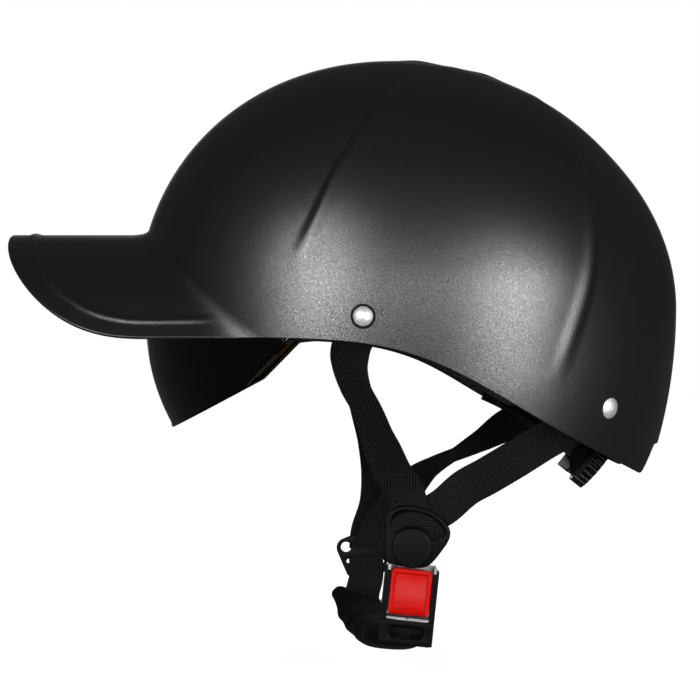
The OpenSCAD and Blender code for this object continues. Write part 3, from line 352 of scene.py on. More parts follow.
# The creases' courses on the left side: x, y, z
frontCrease = [(-62, -104, 12), (-45, -102, 33), (-28, -93, 68), (-12, -78, 93), (5, -52, 115),
               (23, -24, 124), (31, -10, 126), (32, 0, 126)]
rearCrease = [(70, -90, -40), (81, -91, -13), (89, -87, 12.5), (92, -82, 31), (91, -70, 59), (85, -54, 84.5),
              (76, -33, 103), (69, -12, 109), (68, 0, 109)]
domeCentre = [0, 0, shell["widestZ"]]


def direction(azimuth, elevation):  # 0 is ahead, counted towards the right side
    return np.stack([-np.cos(azimuth) * np.cos(elevation), np.sin(azimuth) * np.cos(elevation),
                     np.sin(elevation) + 0 * azimuth], -1)


def section(x, z, s):  # (|x/a|^n + |z/c|^n)^(2/n): n is 2 below, a little more over the brow, less behind
    full = np.where(z <= 0, 2.0, np.where(x < 0, shell["foreheadFull"], shell["crownFull"]))
    ax = np.where(x < 0, s[0], s[1])
    az = np.where(z > 0, s[3], s[4])
    return (np.abs(x / ax) ** full + np.abs(z / az) ** full) ** (2 / full)


def domeReach(c, s):  # distance from the dome's centre along c: 1 / sqrt(section + (y/b)^2)
    return 1 / np.sqrt(section(c[..., 0], c[..., 2], s) + (c[..., 1] / s[2]) ** 2)


archRadius = (shell["brimHalf"] ** 2 + shell["brimRise"] ** 2) / (2 * shell["brimRise"])
archZ = shell["brimEdgeZ"] + shell["brimRise"] - archRadius


def archReach(c, wall):  # where the ray along c meets the brim's round arch, in front only
    k = c[..., 1] ** 2 + c[..., 2] ** 2
    b = c[..., 2] * (shell["widestZ"] - archZ)
    q = b * b - k * ((shell["widestZ"] - archZ) ** 2 - (archRadius - wall) ** 2)
    reach = (-b + np.sqrt(np.maximum(q, 0))) / np.maximum(k, 1e-6)
    return np.where((c[..., 0] < 0) & (k > 1e-6), reach, 0)


def domeSizes(less=0.0):
    return [shell[k] - less for k in ("front", "rear", "side", "up", "down")]


def brimEdge(azimuth, wall):  # distance to the brim's superelliptic outline, by halving
    low, high = [np.full_like(azimuth, end) for end in shell["brimSearch"]]
    for _ in range(shell["halvings"]):
        mid = (low + high) / 2
        ahead = np.maximum(0, mid * np.cos(azimuth) + shell["brimStartX"]) / shell["brimLength"]
        aside = np.abs(mid * np.sin(azimuth)) / (shell["brimHalf"] - wall)
        inside = ahead ** shell["brimSquare"] + aside ** shell["brimSquare"] < 1
        low = np.where(inside, mid, low)
        high = np.where(inside, high, mid)
    return (low + high) / 2


def hemHeight(x):  # level in front, sloping down behind the ear, easing towards the nape
    return (shell["brimEdgeZ"] - shell["hemSlope"] * softPlus(x - shell["hemBendX"], shell["hemRound"])
            + shell["hemTail"] * softPlus(x - shell["hemTailX"], shell["notchBlend"]))


def notchedHem(x, y):  # the hem's height, raised to the notch in the middle of the nape
    half, blend = shell["notchHalf"], shell["notchBlend"]
    side = smoothStep(half - blend / 2, half + blend / 2, np.abs(y))
    z = hemHeight(x)
    return np.where(x < 0, z, np.maximum(shell["notchZ"], z) * (1 - side) + z * side)


def hemEdge(azimuth, s):  # distance to the hem, corrected a few times
    d = direction(azimuth, np.zeros_like(azimuth))
    z = np.full_like(azimuth, shell["brimEdgeZ"])
    for _ in range(shell["hemPasses"]):
        reach = np.sqrt(1 - ((z - shell["widestZ"]) / s[4]) ** 2) * domeReach(d, s)
        z = notchedHem(reach * d[..., 0], reach * d[..., 1])
    return np.sqrt(1 - ((z - shell["widestZ"]) / s[4]) ** 2) * domeReach(d, s)


def shellEdge(azimuth, s, wall):  # elevation of the shell's edge: the brim's where it reaches past the hem
    front = np.abs(azimuth) < math.radians(shell["brimAzimuth"])
    brim = np.where(front, brimEdge(azimuth, wall), 0)
    hem = hemEdge(azimuth, s)
    across = np.minimum(shell["brimHalf"], np.abs(brim * np.sin(azimuth)))
    zBrim = archZ + np.sqrt((archRadius - wall) ** 2 - across ** 2)
    zHem = notchedHem(-hem * np.cos(azimuth), hem * np.sin(azimuth))
    return np.where(brim > hem, np.arctan2(zBrim - shell["widestZ"], brim),
                    np.arctan2(zHem - shell["widestZ"], hem))


def shellSurface(s, wall, rows, cols):
    # Rows climb from the edge, crowded there, towards the crown; each point is centre + reach * direction
    azimuth = np.linspace(-np.pi, np.pi, cols, endpoint=False)
    climb = np.linspace(0, 1, rows + 1)[:-1] ** shell["crowding"]
    edge = shellEdge(azimuth, s, wall)
    elevation = edge[None, :] + (np.pi / 2 - edge[None, :]) * climb[:, None]
    c = direction(np.broadcast_to(azimuth, elevation.shape), elevation)
    reach = smoothMax(domeReach(c, s), archReach(c, wall), shell["fillet"])
    return c * reach[..., None] + domeCentre


def gridNormals(p):  # cross product of the differences along columns and rows, outwards
    along = np.roll(p, -1, 1) - np.roll(p, 1, 1)
    up = np.gradient(p, axis=0)
    return unit(np.cross(up, along))


def curveThrough(points, steps):  # Catmull-Rom through the points
    p = np.asarray(points, float)
    p = np.concatenate([2 * p[:1] - p[1:2], p, 2 * p[-1:] - p[-2:-1]])
    t = np.linspace(0, 1, steps, endpoint=False)[:, None]
    parts = [0.5 * (2 * b + (c - a) * t + (2 * a - 5 * b + 4 * c - d) * t ** 2
                    + (3 * b - a - 3 * c + d) * t ** 3)
             for a, b, c, d in zip(p[:-3], p[1:-2], p[2:-1], p[3:])]
    return np.concatenate(parts + [p[-2:-1]])


def signedGap(p, normals, course):
    # Distance of each point from a course on the surface, positive behind it (towards +X),
    # with the height where the nearest place of the course lies
    line = curveThrough(course, shell["creaseSteps"])
    way = unit(np.gradient(line, axis=0))
    flat = p.reshape(-1, 3)
    nearest = np.zeros(len(flat), int)
    batch = 8000  # points compared with the whole course at a time, which keeps the memory small
    for part in range(0, len(flat), batch):
        d = np.linalg.norm(flat[part:part + batch, None] - line[None], axis=2)
        nearest[part:part + batch] = d.argmin(1)
    off = flat - line[nearest]
    behind = np.cross(way[nearest], normals.reshape(-1, 3))
    signed = np.sum(off * unit(behind), 1)
    return signed.reshape(p.shape[:2]), line[nearest, 2].reshape(p.shape[:2])


def shellRelief(p):
    # How far the moulded detail stands out from the plain shell at each point: the sum of each detail's
    # height times a smooth step or bump of the distance from its line
    x, y, z = p[..., 0], p[..., 1], p[..., 2]
    outwards = gridNormals(p)
    leftSide = np.stack([x, -np.abs(y), z], -1)
    normals = outwards * np.stack([np.ones_like(y), np.where(y > 0, -1, 1), np.ones_like(y)], -1)
    behindFront, frontZ = signedGap(leftSide, normals, frontCrease)
    behindRear, rearZ = signedGap(leftSide, normals, rearCrease)
    aheadRear = -behindRear

    lengths = np.linalg.norm(np.diff(p, axis=0), axis=2)
    fromEdge = np.concatenate([np.zeros((1, p.shape[1])), np.cumsum(lengths, 0)])
    ridge = bump(fromEdge, shell["ridgeInset"], shell["ridgeHalf"]) * smoothStep(*shell["ridgeEnd"], x)

    soft = shell["panelSoft"]
    nearRear = np.clip(behindFront / np.maximum(behindFront + aheadRear, 1e-6), 0, 1)
    fadeRear = smoothStep(*shell["panelRearZ"], z)
    level = smoothStep(*shell["panelFrontZ"], z) * (1 - nearRear) + fadeRear * nearRear
    panel = level * smoothStep(-soft, soft, behindFront) * smoothStep(-soft, soft, aheadRear)
    panel = np.where((behindFront > -2 * soft) & (aheadRear > -2 * soft), panel, 0)
    panel = panel * (1 - shell["panelTopLoss"] * smoothStep(*shell["panelTopZ"], z))

    tuck = within(behindRear, *shell["tuckSpan"]) * fadeRear * smoothStep(*shell["tuckTopZ"], z)
    groove = bump(behindFront, -soft * shell["grooveAhead"], shell["grooveHalf"])
    groove = groove * within(frontZ, *shell["grooveZ"])
    streak = bump(behindFront, *shell["frontStreak"]) * within(frontZ, *shell["frontStreakZ"])
    streak += bump(aheadRear, *shell["rearStreak"]) * within(rearZ, *shell["rearStreakZ"])
    hoods = sum(bump(x, *hood) for hood in shell["hoodsX"]) * (z > shell["hoodFootZ"])
    hoods = hoods * smoothStep(shell["hoodHalf"], shell["hoodHalf"] - shell["hoodSoft"], np.abs(y))
    relief = (shell["ridgeHeight"] * ridge + shell["panelRise"] * panel - shell["grooveDeep"] * groove
              + shell["streakRise"] * streak + shell["hoodRise"] * hoods - shell["tuckDeep"] * tuck)
    return relief, outwards


def buildShell():
    outer = shellSurface(domeSizes(), 0, shell["rows"], shell["cols"])
    relief, outwards = shellRelief(outer)
    outer = outer + outwards * relief[..., None]
    inner = shellSurface(domeSizes(shell["wall"]), shell["wall"], shell["innerRows"], shell["cols"])
    top = shell["widestZ"] + shell["up"]
    return bowl(outer, inner, top, top - shell["wall"], shell)


settle(meshPiece("helmet_shell", *buildShell(), satinLacquer), "helmet", "shell", "outer_shell")

print("4 foam liner and visor")

liner = {
    "cols": 240, "rows": 70, "lipRings": 7, "lipDrop": 0.12, "lipSquare": 0.6,
    "roomFront": 13.0, "roomSide": 13.5, "room": 0.5, "wall": 19.0,
    "napeZ": -46.0, "browZ": 22.0, "browX": (-62, -96), "raise": 0.6, "showing": 0.8, "showingX": (45, 32),
    # The groove that gives the rear rivets room
    "grooveX": (57.0, 91.0), "grooveY": 62.0, "grooveSoft": (3, 1), "grooveTop": -38.0,
}


def linerSizes(less):
    rooms = [liner["roomFront"], liner["room"], liner["roomSide"], liner["room"], liner["room"]]
    return [a - b - less for a, b in zip(domeSizes(shell["wall"]), rooms)]


def linerHem(x):  # just under the shell's hem behind the ear, higher at the brow and the nape
    hem = hemHeight(x) + liner["raise"] - liner["showing"] * bump(x, *liner["showingX"])
    brow = (liner["browZ"] - shell["brimEdgeZ"]) * smoothStep(*liner["browX"], x)
    return np.maximum(liner["napeZ"], hem) + brow


def linerSurface(s):
    # The dome's surface from the liner's own hem up, with a groove in the hem on each side at the rear
    azimuth = np.linspace(-np.pi, np.pi, liner["cols"], endpoint=False)
    flat = domeReach(direction(azimuth, np.zeros_like(azimuth)), s)
    x, y = -flat * np.cos(azimuth), flat * np.sin(azimuth)
    z = linerHem(x)
    ahead, behind = liner["grooveX"]
    wide, narrow = liner["grooveSoft"]
    groove = within(x, ahead - wide, ahead + narrow, behind - narrow, behind + wide)
    groove = groove * smoothStep(liner["grooveY"] - wide, liner["grooveY"] + narrow, np.abs(y))
    z = z * (1 - groove) + np.maximum(z, liner["grooveTop"]) * groove
    dz = z - shell["widestZ"]
    edge = np.arctan2(dz, flat * np.sqrt(1 - (dz / np.where(dz > 0, s[3], s[4])) ** 2))
    climb = np.linspace(0, 1, liner["rows"] + 1)[:-1]
    elevation = edge[None] + (np.pi / 2 - edge[None]) * climb[:, None]
    c = direction(np.broadcast_to(azimuth, elevation.shape), elevation)
    return c * domeReach(c, s)[..., None] + domeCentre


def buildLiner():
    outer, inner = linerSizes(0), linerSizes(liner["wall"])
    return bowl(linerSurface(outer), linerSurface(inner), shell["widestZ"] + outer[3],
                shell["widestZ"] + inner[3], liner)


settle(meshPiece("foam_liner", *buildLiner(), foamBeads), "helmet", "foam", "eps_liner")

visor = {
    "pivotX": -15.7, "pivotZ": 0.0,
    "reach": 107.6, "halfWidth": 101.6, "wall": 2.2,
    "top": 5.0, "drop": 53.2, "kink": (-53.0, -31.2), "arm": (-33.5, -11.0),
    "hub": 8.5, "hubSpan": (98.7, 101.9), "hubJoin": 1.5, "hubBevel": 0.4, "hubTurns": 64, "bore": 2.55,
    "rimWide": 2.4, "rimProud": 0.5, "rimSoft": 0.6,
    "cols": 150, "rows": 60, "crowding": 0.35, "outlineSteps": 60,
}


def outlineAngles(corners, reach):
    # Angle below the pivot's level at which a circle of each reach crosses the outline
    c = np.asarray(corners, float)
    t = np.linspace(0, 1, visor["outlineSteps"])[:, None]
    line = np.concatenate([a * (1 - t) + b * t for a, b in zip(c[:-1], c[1:])])
    r = np.linalg.norm(line, axis=1)
    angle = np.arctan2(line[:, 1], -line[:, 0])
    order = np.argsort(r)
    return np.interp(reach, r[order], angle[order])


def buildLens():
    # Each column is an arc about the pivots, of radius reach * cos t, at halfWidth * sin t to the side
    v = visor
    tip = (-math.sqrt(v["reach"] ** 2 - v["drop"] ** 2), -v["drop"])
    lower = [(0, 1 - v["hub"]), v["arm"], v["kink"], tip]
    upper = [(0, v["hub"] - 1), (v["kink"][0], v["top"]), (-v["reach"], v["top"])]
    side = math.acos((v["hub"] + v["hubJoin"]) / v["reach"])
    t = np.linspace(-side, side, v["cols"])
    reach = v["reach"] * np.cos(t)
    low = outlineAngles(lower, reach)
    high = outlineAngles(upper, reach)
    even = np.linspace(0, 1, v["rows"])
    f = (1 - np.cos(np.pi * even)) / 2 * v["crowding"] + even * (1 - v["crowding"])
    angle = low[None] + (high - low)[None] * f[:, None]
    fromRim = (angle - low[None]) * reach[None]
    proud = v["rimProud"] * smoothStep(v["rimWide"], v["rimWide"] * v["rimSoft"], fromRim)

    def wall(inset, out):
        r = (v["reach"] - inset) * np.cos(t)[None] + out
        aside = (v["halfWidth"] - inset + out) * np.sin(t)[None] + 0 * angle
        return np.stack([v["pivotX"] - r * np.cos(angle), aside, v["pivotZ"] + r * np.sin(angle)], -1)

    points = np.concatenate([wall(0, proud).reshape(-1, 3), wall(v["wall"], 0).reshape(-1, 3)])
    return points, slabFaces(*angle.shape, flip=True)


def buildHub(side):
    # A flat ring about the pivots' line, its profile (radius, y) bevelled at the rim
    near, far = visor["hubSpan"]
    radius, bore, bevel, turns = visor["hub"], visor["bore"], visor["hubBevel"], visor["hubTurns"]
    profile = [(bore, near), (radius - bevel, near), (radius, near + bevel), (radius, far - bevel),
               (radius - bevel, far), (bore, far)]
    a = np.linspace(0, 2 * np.pi, turns, endpoint=False)
    rings = [np.stack([visor["pivotX"] + r * np.cos(a), np.full_like(a, side * y),
                       visor["pivotZ"] + r * np.sin(a)], -1) for r, y in profile]
    faces = gridFaces(len(profile), turns, closed=True, flip=side < 0)
    last = (len(profile) - 1) * turns
    for j in range(turns):
        k = (j + 1) % turns
        quad = (last + j, last + k, k, j)
        faces.append(quad[::-1] if side < 0 else quad)
    return np.concatenate(rings), faces


points, faces = joined([buildLens(), buildHub(-1), buildHub(1)])
lens = meshPiece("visor_lens_smoked", points, faces, smokedLens, sharpAngle=35)
settle(lens, "visor", "visor", "visor_lens")

print("5 webbing straps")

strap = {"width": 18.0, "thick": 1.5, "edge": 0.6, "steps": 9, "across": 12, "round": 5}
buckle = {
    "x": 7.6, "y": -55.0, "z": -108.0, "lean": math.radians(6), "shift": 1.4,
    "frontLayer": -0.55, "rearLayer": 1.25, "barY": 3.0, "barZ": -39.8, "barR": 2.2, "barGap": 0.3,
}
farPlate = {
    "x": -13.0, "y": 56.0, "z": -122.5, "thick": 2.5, "bevel": 0.7, "layer": 2.3,
    # Circles (x, z, radius): its outline is drawn out round the corners
    "corners": [(-10.6, 3.2, 5.0), (-5.5, 6.2, 4.2), (10.2, 3.6, 3.2), (-7.4, -9.0, 3.2), (7.0, -7.8, 3.2)],
    "holes": [(-10.6, 3.6, 2.7), (-9.3, -3.9, 1.1), (8.4, -4.0, 1.1), (11, 4, 1.0)],
}
pivotTop = {"y": 96.85}  # middle of the webbing under the pivot's washer
rivet = {"x": 99.0, "z": -42.0, "inset": 1.8}  # the flat strap end lies this far inside the curved wall


def atBuckle(p):
    # From the buckle's own frame (x across, -y outwards, z up along it) to the helmet's
    p = np.asarray(p, float)
    c, s = math.cos(buckle["lean"]), math.sin(buckle["lean"])
    return np.stack([buckle["x"] + p[..., 0] * c + p[..., 2] * s, buckle["y"] + p[..., 1],
                     buckle["z"] - p[..., 0] * s + p[..., 2] * c], -1)


def buckleWay(v):
    return atBuckle(v) - atBuckle([0, 0, 0])


def path(stops, steps):
    # Places, cross directions and outward directions of a band on a Catmull-Rom curve through its stops;
    # the cross direction runs evenly from stop to stop and is kept square to the way
    line = curveThrough([s[0] for s in stops], steps)
    w = np.array([s[1] for s in stops], float)
    t = np.linspace(0, len(stops) - 1, len(line))
    cross = np.stack([np.interp(t, np.arange(len(stops)), w[:, k]) for k in range(3)], -1)
    way = unit(np.gradient(line, axis=0))
    cross = unit(cross - way * np.sum(cross * way, 1, keepdims=True))
    return line, cross, unit(np.cross(way, cross))


def bandSection():
    # A flat band's section: two straight faces and rounded edges, as (across, through)
    half, deep, edge = strap["width"] / 2, strap["thick"] / 2, strap["edge"]
    x = np.linspace(edge - half, half - edge, strap["across"])
    turn = np.linspace(-np.pi / 2, np.pi / 2, strap["round"] + 2)[1:-1]
    right = np.stack([half - edge + edge * np.cos(turn), deep * np.sin(turn)], -1)
    low, high = np.full_like(x, -deep), np.full_like(x, deep)
    return np.concatenate([np.stack([x, low], -1), right, np.stack([x[::-1], high], -1), -right])


def strapPiece(name, stops, node):
    # The band's section carried along its path: place + cross * across + out * through
    line, cross, out = path(stops, strap["steps"])
    s = bandSection()[None]
    p = line[:, None] + cross[:, None] * s[..., :1] + out[:, None] * s[..., 1:]
    rows, cols = p.shape[:2]
    faces = gridFaces(rows, cols, closed=True, flip=True)
    faces += [tuple(range(cols)), tuple(range(rows * cols - 1, (rows - 1) * cols - 1, -1))]
    along = np.concatenate([[0], np.cumsum(np.linalg.norm(np.diff(line, axis=0), axis=1))])
    uv = np.stack(np.broadcast_arrays(along[:, None], s[..., 0]), -1) * mm
    piece = meshPiece(name, p.reshape(-1, 3), faces, nylonWebbing, uv=uv.reshape(-1, 2), sharpAngle=50)
    settle(piece, "helmet", "webbing", node)


def mirrored(stops):
    return [((p[0], -p[1], p[2]), (-w[0], w[1], -w[2])) for p, w in stops]


def buckleStops(stops):  # from (x, depth, z, across, up) in the buckle's frame
    return [(atBuckle(stop[:3]), buckleWay([stop[3], 0, stop[4]])) for stop in stops]


# Each stop is a place of the band's middle and the direction across the band
top, front, rear = pivotTop["y"], buckle["frontLayer"], buckle["rearLayer"]
frontTop = [((-16.7, -top, 9), (1, 0, 0)), ((-17, -top, 0), (1, 0, 0)), ((-18.6, -top, -7.5), (1, 0, 0)),
            ((-21.1, 1.2 - top, -14), (1, -0.1, 0))]
frontLeft = [((-21.8, -90, -22), (0.85, -0.5, 0.1)), ((-19, -84, -32.5), (0.7, -0.7, 0.2)),
             ((-13.5, -78, -42.8), (0.68, -0.7, 0.2)), ((-9.5, -72.5, -53.5), (0.75, -0.6, 0.3)),
             ((-5.5, -66.5, -63.5), (0.9, -0.3, 0.4)), ((-1, -60.3, -73.5), (0.86, -0.1, 0.5))]
frontFoot = buckleStops([(-6.5, front - 1.2, 27, 0.85, 0.5), (-3.8, front, 21, 0.93, 0.36),
                         (-2, front, 15.5, 0.98, 0.2), (-1, front, 9.5, 1, 0.05)])
rearHead = buckleStops([(3.4, rear, 10.8, 0.72, -0.7), (8.3, rear, 16.4, 0.66, -0.75),
                        (14.2, rear, 21.3, 0.58, -0.81)])
rearLeft = [((33, -54.5, -80.3), (0.5, 0, -0.86)), ((43, -57.8, -74.4), (0.5, 0, -0.86)),
            ((55.6, -63, -66.4), (0.54, 0, -0.84)), ((72, -68, -56), (0.5, 0.2, -0.84))]

# The rear straps end flat under the shell at their rivets, which stand square to the dome there
rivetDrop = rivet["z"] - shell["widestZ"]
rivetY = shell["side"] * math.sqrt(1 - (rivet["x"] / shell["rear"]) ** 2 - (rivetDrop / shell["down"]) ** 2)
rivetOut = unit(np.array([rivet["x"] / shell["rear"] ** 2, -rivetY / shell["side"] ** 2,
                          rivetDrop / shell["down"] ** 2]))
rearEnd = np.array([rivet["x"], -rivetY, rivet["z"]])
rearEnd = rearEnd - rivetOut * (shell["wall"] + rivet["inset"] + strap["thick"] / 2)
rearWay = unit(np.cross(np.cross(rivetOut, [0.86, 0.1, 0.5]), rivetOut))
rearAcross = unit(np.cross(rearWay, rivetOut))
rearTop = [(rearEnd + rearWay * past, rearAcross) for past in (-11, 0, 8)]

# On the right the straps lie on the divider plate's outer and inner faces
plateX, plateZ = farPlate["x"], farPlate["z"]
farOut, farIn = farPlate["y"] + farPlate["layer"], farPlate["y"] - farPlate["layer"]
frontRight = [((-20.5, 91, -21), (-0.85, -0.5, 0)), ((-18, 84, -34), (-0.75, -0.65, 0)),
              ((-14.5, 77, -48), (-0.7, -0.7, 0)), ((-10, 70, -64), (-0.8, -0.6, 0)),
              ((-7, 64, -80), (-0.95, -0.3, 0)), ((-7.5, 60, -96), (-1, 0, 0)),
              ((plateX + 1, farOut, plateZ + 12), (-1, 0, 0)), ((plateX, farOut, plateZ + 2), (-1, 0, 0))]
rearRight = [((plateX + 2, farIn, plateZ + 3), (-0.95, 0, 0.3)),
             ((plateX + 6.5, farIn, plateZ + 14), (-0.85, 0, 0.5)),
             ((3.5, 55, -93.5), (-0.85, -0.1, 0.5)), ((12.5, 56, -84.3), (-0.7, -0.45, 0.55)),
             ((21.5, 57.6, -77.2), (-0.45, -0.8, 0.4)), ((33.5, 60, -70.6), (-0.25, -0.92, 0.3)),
             ((47.5, 62.9, -63.2), (-0.35, -0.75, 0.55)), ((60, 66.4, -56), (-0.45, -0.35, 0.8)),
             ((72, 69.2, -50.8), (-0.5, 0, 0.84))]

strapPiece("webbing_front_left", frontTop + frontLeft + frontFoot, "strap_front_left")
strapPiece("webbing_rear_left", rearHead + rearLeft + rearTop, "strap_rear_left")
strapPiece("webbing_front_right", mirrored(frontTop) + frontRight, "strap_front_right")
strapPiece("webbing_rear_right", rearRight + mirrored(rearTop), "strap_rear_right")

# The chin strap runs from the plate under the chin and round the buckle's bar
chinStart = [((plateX, farIn, plateZ - 2), (1, 0, 0)), ((plateX, farIn - 0.2, plateZ - 12), (1, 0, 0))]
chinRun = [((-15, 50.5, -143), (1, 0, -0.1)), ((-15, 41, -152), (1, 0, -0.1)),
           ((-10, 24, -158), (1, 0, -0.1)), ((-3, 2, -160), (1, 0, -0.08)),
           ((1, -20, -157.8), (1, 0, -0.05)), ((3, -40, -152.6), (1, 0, -0.05))]
wrap = buckle["barR"] + buckle["barGap"] + strap["thick"] / 2
barTurns = np.radians(np.arange(270, 69, -25))
chinEnd = buckleStops([(buckle["shift"], buckle["barY"] + wrap * math.cos(a),
                        buckle["barZ"] + wrap * math.sin(a), 1, 0) for a in barTurns])
strapPiece("webbing_chin", chinStart + chinRun + chinEnd, "chin_strap")

print("6 dividers and buckle")

cover = {
    "front": -4.6, "thick": 3.0, "bevel": 0.9, "rim": 2.5, "discGap": (0.6, 1.6),
    "windowArc": (24, 146), "arcSteps": 26, "steps": 8,
    # The drawn-out rounded triangle that its outline passes through, from the disc's centre: x, z
    "stops": [(16.6, 4.3), (17.4, 8.2), (16.2, 11.6), (12.5, 15.1), (7.2, 18.0), (0, 19.5), (-6.5, 19.0),
              (-11.3, 16.4), (-13.2, 11.6), (-12.9, 4), (-12.3, -4), (-11.2, -7.6), (-6, -9.0), (2, -9.4),
              (7.6, -8.4), (11.0, -5.2), (14.3, 0)],
}
disc = {
    "radius": 9.4, "height": 2.15, "sphere": 130, "back": -1.2, "bevel": 0.7, "ahead": 0.1,
    "turns": 72, "rings": 16,
}
fold = {
    "arc": (20, 158), "out": 18.2, "in": 8.6, "proud": 1.5, "depth": 2.35, "back": 2.7,
    "narrow": 1.4, "narrowArc": (1.2, 2.4), "pleat": 0.35, "pleats": 48, "pleatArc": (0.95, 0.55),
    "rows": 60, "cols": 17,
}
button = {
    "wide": 19.4, "tall": 22.0, "thick": 4.5, "front": -5.6, "top": -9.9, "corner": 2.2, "edge": 0.9,
    "rings": 72, "steps": 14, "longSide": 3,
    # The sunk field inside the rim, shallower at its foot
    "rimDeep": 1.2, "fieldHalf": (7.9, 7.2), "fieldTop": (8.9, 8.2), "fieldFoot": (-9.5, -7.9),
    "footBow": 2.6, "footHalf": 7.5, "shallow": 0.45, "deepening": (-6, 7),
    # The arched thumb scoop below it, and the raised lip on the upper edge
    "scoopDeep": 2.3, "scoopTop": -7.2, "scoopBow": 2.4, "scoopHalf": 8.2, "scoopSlope": (0.3, -3.6),
    "scoopSides": (8.9, 7.4), "lipRise": 0.45, "lipUp": 9.9, "lipHalf": 1.5,
    "postR": 0.8, "postX": 8.1, "postZ": -17.2, "postEnd": 4.35, "postRise": 0.2, "postEdge": 0.1,
    "postTurns": 20, "postRings": 3,
}
housing = {
    "half": 11.6, "wall": 1.1, "front": -4.7, "back": 6.5, "top": -9.9, "end": -45.8,
    "corner": 1.4, "edge": 0.3,
    "pinZ": -26.8, "pinY": 2.0, "pinBore": 1.1,
    "lip": 2.0, "lipThick": 0.55, "lipOver": 0.4, "lipEdge": 0.15, "lipCorner": 0.5,
    "lipFoot": 0.5, "lipProud": 0.05,
    "bridge": -34.1, "blockThick": 1.8, "blockCorner": 2.2, "blockEdge": 0.6,
    "slotHalf": 8.2, "slotUp": 2.9, "slotCorner": 2.4,
}


def polar(radius, angle):
    return np.stack([radius * np.cos(angle), radius * np.sin(angle)], -1)


def hullOutline(circles, turns=48):
    # The convex outline round several circles (x, y, radius), as points in order
    a = np.linspace(0, 2 * np.pi, turns, endpoint=False)
    dots = sorted({(round(x + r * math.cos(t), 4), round(y + r * math.sin(t), 4))
                   for x, y, r in circles for t in a})

    def half(points):
        chain = []
        for p in points:
            while len(chain) > 1 and ((chain[-1][0] - chain[-2][0]) * (p[1] - chain[-2][1])
                                      - (chain[-1][1] - chain[-2][1]) * (p[0] - chain[-2][0])) <= 0:
                chain.pop()
            chain.append(p)
        return chain[:-1]

    return np.array(half(dots) + half(dots[::-1]))


def roundedBox(x0, x1, y0, y1, r, turns=8):  # a rectangle with corners of radius r, counter-clockwise
    a = np.linspace(0, np.pi / 2, turns)
    corners = [(x1 - r, y1 - r, 0), (x0 + r, y1 - r, 1), (x0 + r, y0 + r, 2), (x1 - r, y0 + r, 3)]
    return np.concatenate([[x, y] + polar(r, a + k * np.pi / 2) for x, y, k in corners])


def circle(x, y, r, turns=32):
    return [x, y] + polar(r, np.linspace(0, 2 * np.pi, turns, endpoint=False))


def plate(outlines, thick, bevel):
    # A plate cut to the first outline with the rest as holes, both faces' edges rounded by the bevel;
    # its points are (x, y, 0 to thick)
    data = bpy.data.curves.new("cutting", "CURVE")
    data.dimensions = "2D"
    data.fill_mode = "BOTH"
    data.extrude = thick / 2 - bevel
    data.bevel_depth = bevel
    data.bevel_resolution = 3
    data.offset = -bevel
    for outline in outlines:
        spline = data.splines.new("POLY")
        spline.points.add(len(outline) - 1)
        corners = np.column_stack([outline, np.zeros(len(outline)), np.ones(len(outline))])
        spline.points.foreach_set("co", corners.ravel())
        spline.use_cyclic_u = True
    holder = bpy.data.objects.new("cutting", data)
    mesh = bpy.data.meshes.new_from_object(holder)
    shape = bmesh.new()
    shape.from_mesh(mesh)
    bmesh.ops.remove_doubles(shape, verts=shape.verts, dist=0.002)
    bmesh.ops.dissolve_degenerate(shape, edges=shape.edges, dist=0.001)
    shape.verts.ensure_lookup_table()
    points = np.array([v.co[:] for v in shape.verts])
    faces = [tuple(v.index for v in f.verts) for f in shape.faces]
    shape.free()
    bpy.data.objects.remove(holder)
    bpy.data.curves.remove(data)
    bpy.data.meshes.remove(mesh)
    points[:, 2] += thick / 2
    return points, faces


def reliefPlate(outline, height, back, rings, edge):
    # Rings shrinking from the outline to its centre, their front at -height(x, y), rounded at the edge;
    # the back is flat
    centre = outline.mean(0)
    s = np.sin(np.linspace(np.pi / 2, 0.02, rings))[:, None, None]
    flat = centre + s * (outline - centre)[None]
    fromEdge = (1 - s[..., 0]) * np.linalg.norm(outline - centre, axis=1)[None]
    rounding = edge * (1 - np.sqrt(np.clip(1 - (1 - np.clip(fromEdge / edge, 0, 1)) ** 2, 0, 1)))
    top = height(flat[..., 0], flat[..., 1]) - rounding
    front = np.concatenate([flat, top[..., None]], -1)
    foot = np.concatenate([outline, np.full((len(outline), 1), back)], 1)[None]
    rows = np.concatenate([foot, front])
    points = np.concatenate([rows.reshape(-1, 3), [[*centre, back], [*centre, float(height(*centre))]]])
    return points * [1, 1, -1], tubeFaces(*rows.shape[:2])


def onBuckle(plain, front, shift=0.0):
    # A plate's points (x, z, depth) and faces put at the buckle; depth runs back from the front
    p = np.asarray(plain[0], float)
    return atBuckle(np.stack([p[:, 0] + shift, front + p[:, 2], p[:, 1]], -1)), plain[1]


def blackPiece(name, points, faces, node, sharpAngle=40):
    piece = meshPiece(name, points, faces, mouldedNylon, sharpAngle=sharpAngle)
    settle(piece, "helmet", "black_plastic", node)


def buildCover():
    # Its window is the outline moved in by the rim, down to a circle round the disc
    stops = np.asarray(cover["stops"], float)
    steps = cover["steps"]
    around = curveThrough(np.concatenate([stops[-3:], stops, stops[:3]]), steps)
    outline = around[3 * steps:(3 + len(stops)) * steps]
    way = unit(np.roll(outline, -1, 0) - np.roll(outline, 1, 0))
    inside = outline + cover["rim"] * np.stack([-way[:, 1], way[:, 0]], -1)
    near, clear = cover["discGap"]
    low = np.radians(np.linspace(*cover["windowArc"], cover["arcSteps"]))
    angle = np.arctan2(inside[:, 1], inside[:, 0])
    keep = (angle > low[0]) & (angle < low[-1]) & (np.hypot(*inside.T) > disc["radius"] + clear)
    window = np.concatenate([inside[keep][np.argsort(angle[keep])], polar(disc["radius"] + near, low[::-1])])
    return plate([outline, window], cover["thick"], cover["bevel"])


